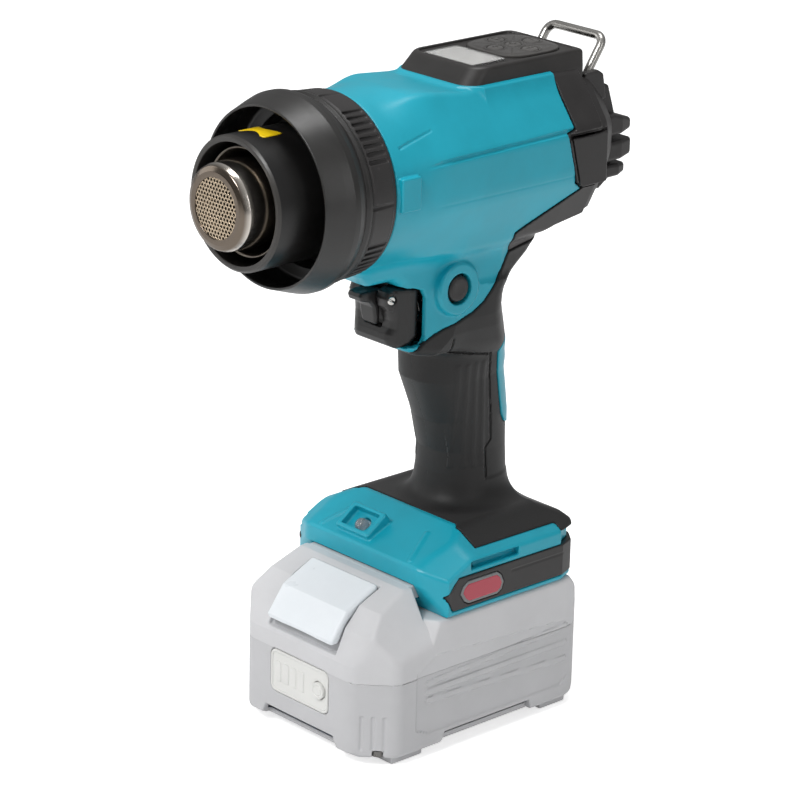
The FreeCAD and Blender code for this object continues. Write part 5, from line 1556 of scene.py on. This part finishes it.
size = {"cad": [list(map(float, v)) for v in cad_box],
        "visual": [list(map(float, v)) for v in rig.bounds()]}
try:
    with open("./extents.json", "w") as file:
        json.dump(size, file)
except OSError:
    pass    # the folder may be missing or read-only; the scene doesn't need the file


# ======================================================== floor, light and camera
def add_floor():
    """White paper, lit more strongly as the camera sees it."""
    bpy.ops.mesh.primitive_plane_add(size=12, location=(0, 0, -0.0002))
    floor = bpy.context.object
    floor.name = "floor"
    look = Look("floor_paper")
    fibre = look.noise(scale=400, detail=3, roughness=0.5)
    seen = look.node("LightPath").outputs["Is Camera Ray"]
    floor.data.materials.append(look.shade({
        "Base Color": look.mix(fibre, (0.86, 0.86, 0.86, 1), (0.9, 0.9, 0.9, 1)),
        "Roughness": 0.7, "Emission Color": (1, 1, 1, 1),
        "Emission Strength": look.remap(seen, source=(0, 1), target=(0.1, 0.6))}))
    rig.stage(floor)


def set_world(scene):
    """White to the camera; as a light, brighter towards the top."""
    world = scene.world or bpy.data.worlds.new("studio")
    scene.world = world
    world.use_nodes = True
    graph = Graph(world.node_tree)
    output = graph.node("OutputWorld")
    camera_ray = graph.node("LightPath").outputs["Is Camera Ray"]
    seen = graph.node("Background", {0: (1, 1, 1, 1), 1: 1.0})
    direction = graph.node("TexCoord").outputs["Generated"]
    height = graph.node("SeparateXYZ", {0: direction}).outputs["Z"]
    strength = graph.remap(height, source=(-0.3, 0.9), target=(0.1, 0.46))
    lit = graph.node("Background", {0: (1, 1, 1, 1), 1: strength})
    mixed = graph.node("MixShader", {0: camera_ray, 1: lit.outputs[0], 2: seen.outputs[0]})
    graph.fill(output, {0: mixed.outputs[0]})


# name, place, target, size, watts
LIGHTS = [
    ("key", (0.1, -1.15, 1.3), (0, -0.02, 0.17), (0.5, 0.5), 14),
    ("side", (1.5, 0.15, 0.7), (0, 0, 0.17), (0.25, 1.0), 2.3),
    ("top", (-0.1, 0.1, 1.5), (0, 0, 0.2), (0.7, 0.4), 6),
    ("rim", (-0.9, 0.9, 0.8), (0, 0, 0.2), (0.3, 0.8), 1.5),
    ("left", (-1.2, -0.7, 0.5), (0, 0, 0.15), (0.6, 0.8), 2.4),
]


def add_light(name, place, target, extent, watts):
    data = bpy.data.lights.new(name, "AREA")
    data.shape = "RECTANGLE"
    data.size, data.size_y = extent
    data.energy = watts
    light = add_object(name, data)
    light.location = place
    aim = Vector(target) - Vector(place)
    light.rotation_euler = aim.to_track_quat("-Z", "Y").to_euler()
    light.visible_glossy = name != "rim"


CAMERA_PLACE = (0.9129, -0.8787, 0.5706)
VIEW_DIRECTION = (-0.69012663, 0.64251998, -0.33351783)
VIEW_UP = (-0.2519, 0.2021, 0.9463)


def add_camera(scene):
    data = bpy.data.cameras.new("camera")
    camera = add_object("camera", data)
    scene.camera = camera
    data.sensor_width = 36
    data.lens = 154.026
    data.clip_start = 0.05
    forward = Vector(VIEW_DIRECTION).normalized()
    upward = Vector(VIEW_UP)
    upward = (upward - forward * upward.dot(forward)).normalized()
    columns = (forward.cross(upward), upward, -forward, CAMERA_PLACE)
    rows = [[column[k] for column in columns] for k in range(3)]
    camera.matrix_world = Matrix(rows + [[0, 0, 0, 1]])


scene = bpy.context.scene
add_floor()
set_world(scene)
for light in LIGHTS:
    add_light(*light)
add_camera(scene)
scene.view_settings.view_transform = "Standard"
scene.view_settings.look = "None"
scene.view_settings.exposure = 0.0
scene.view_settings.gamma = 1.0
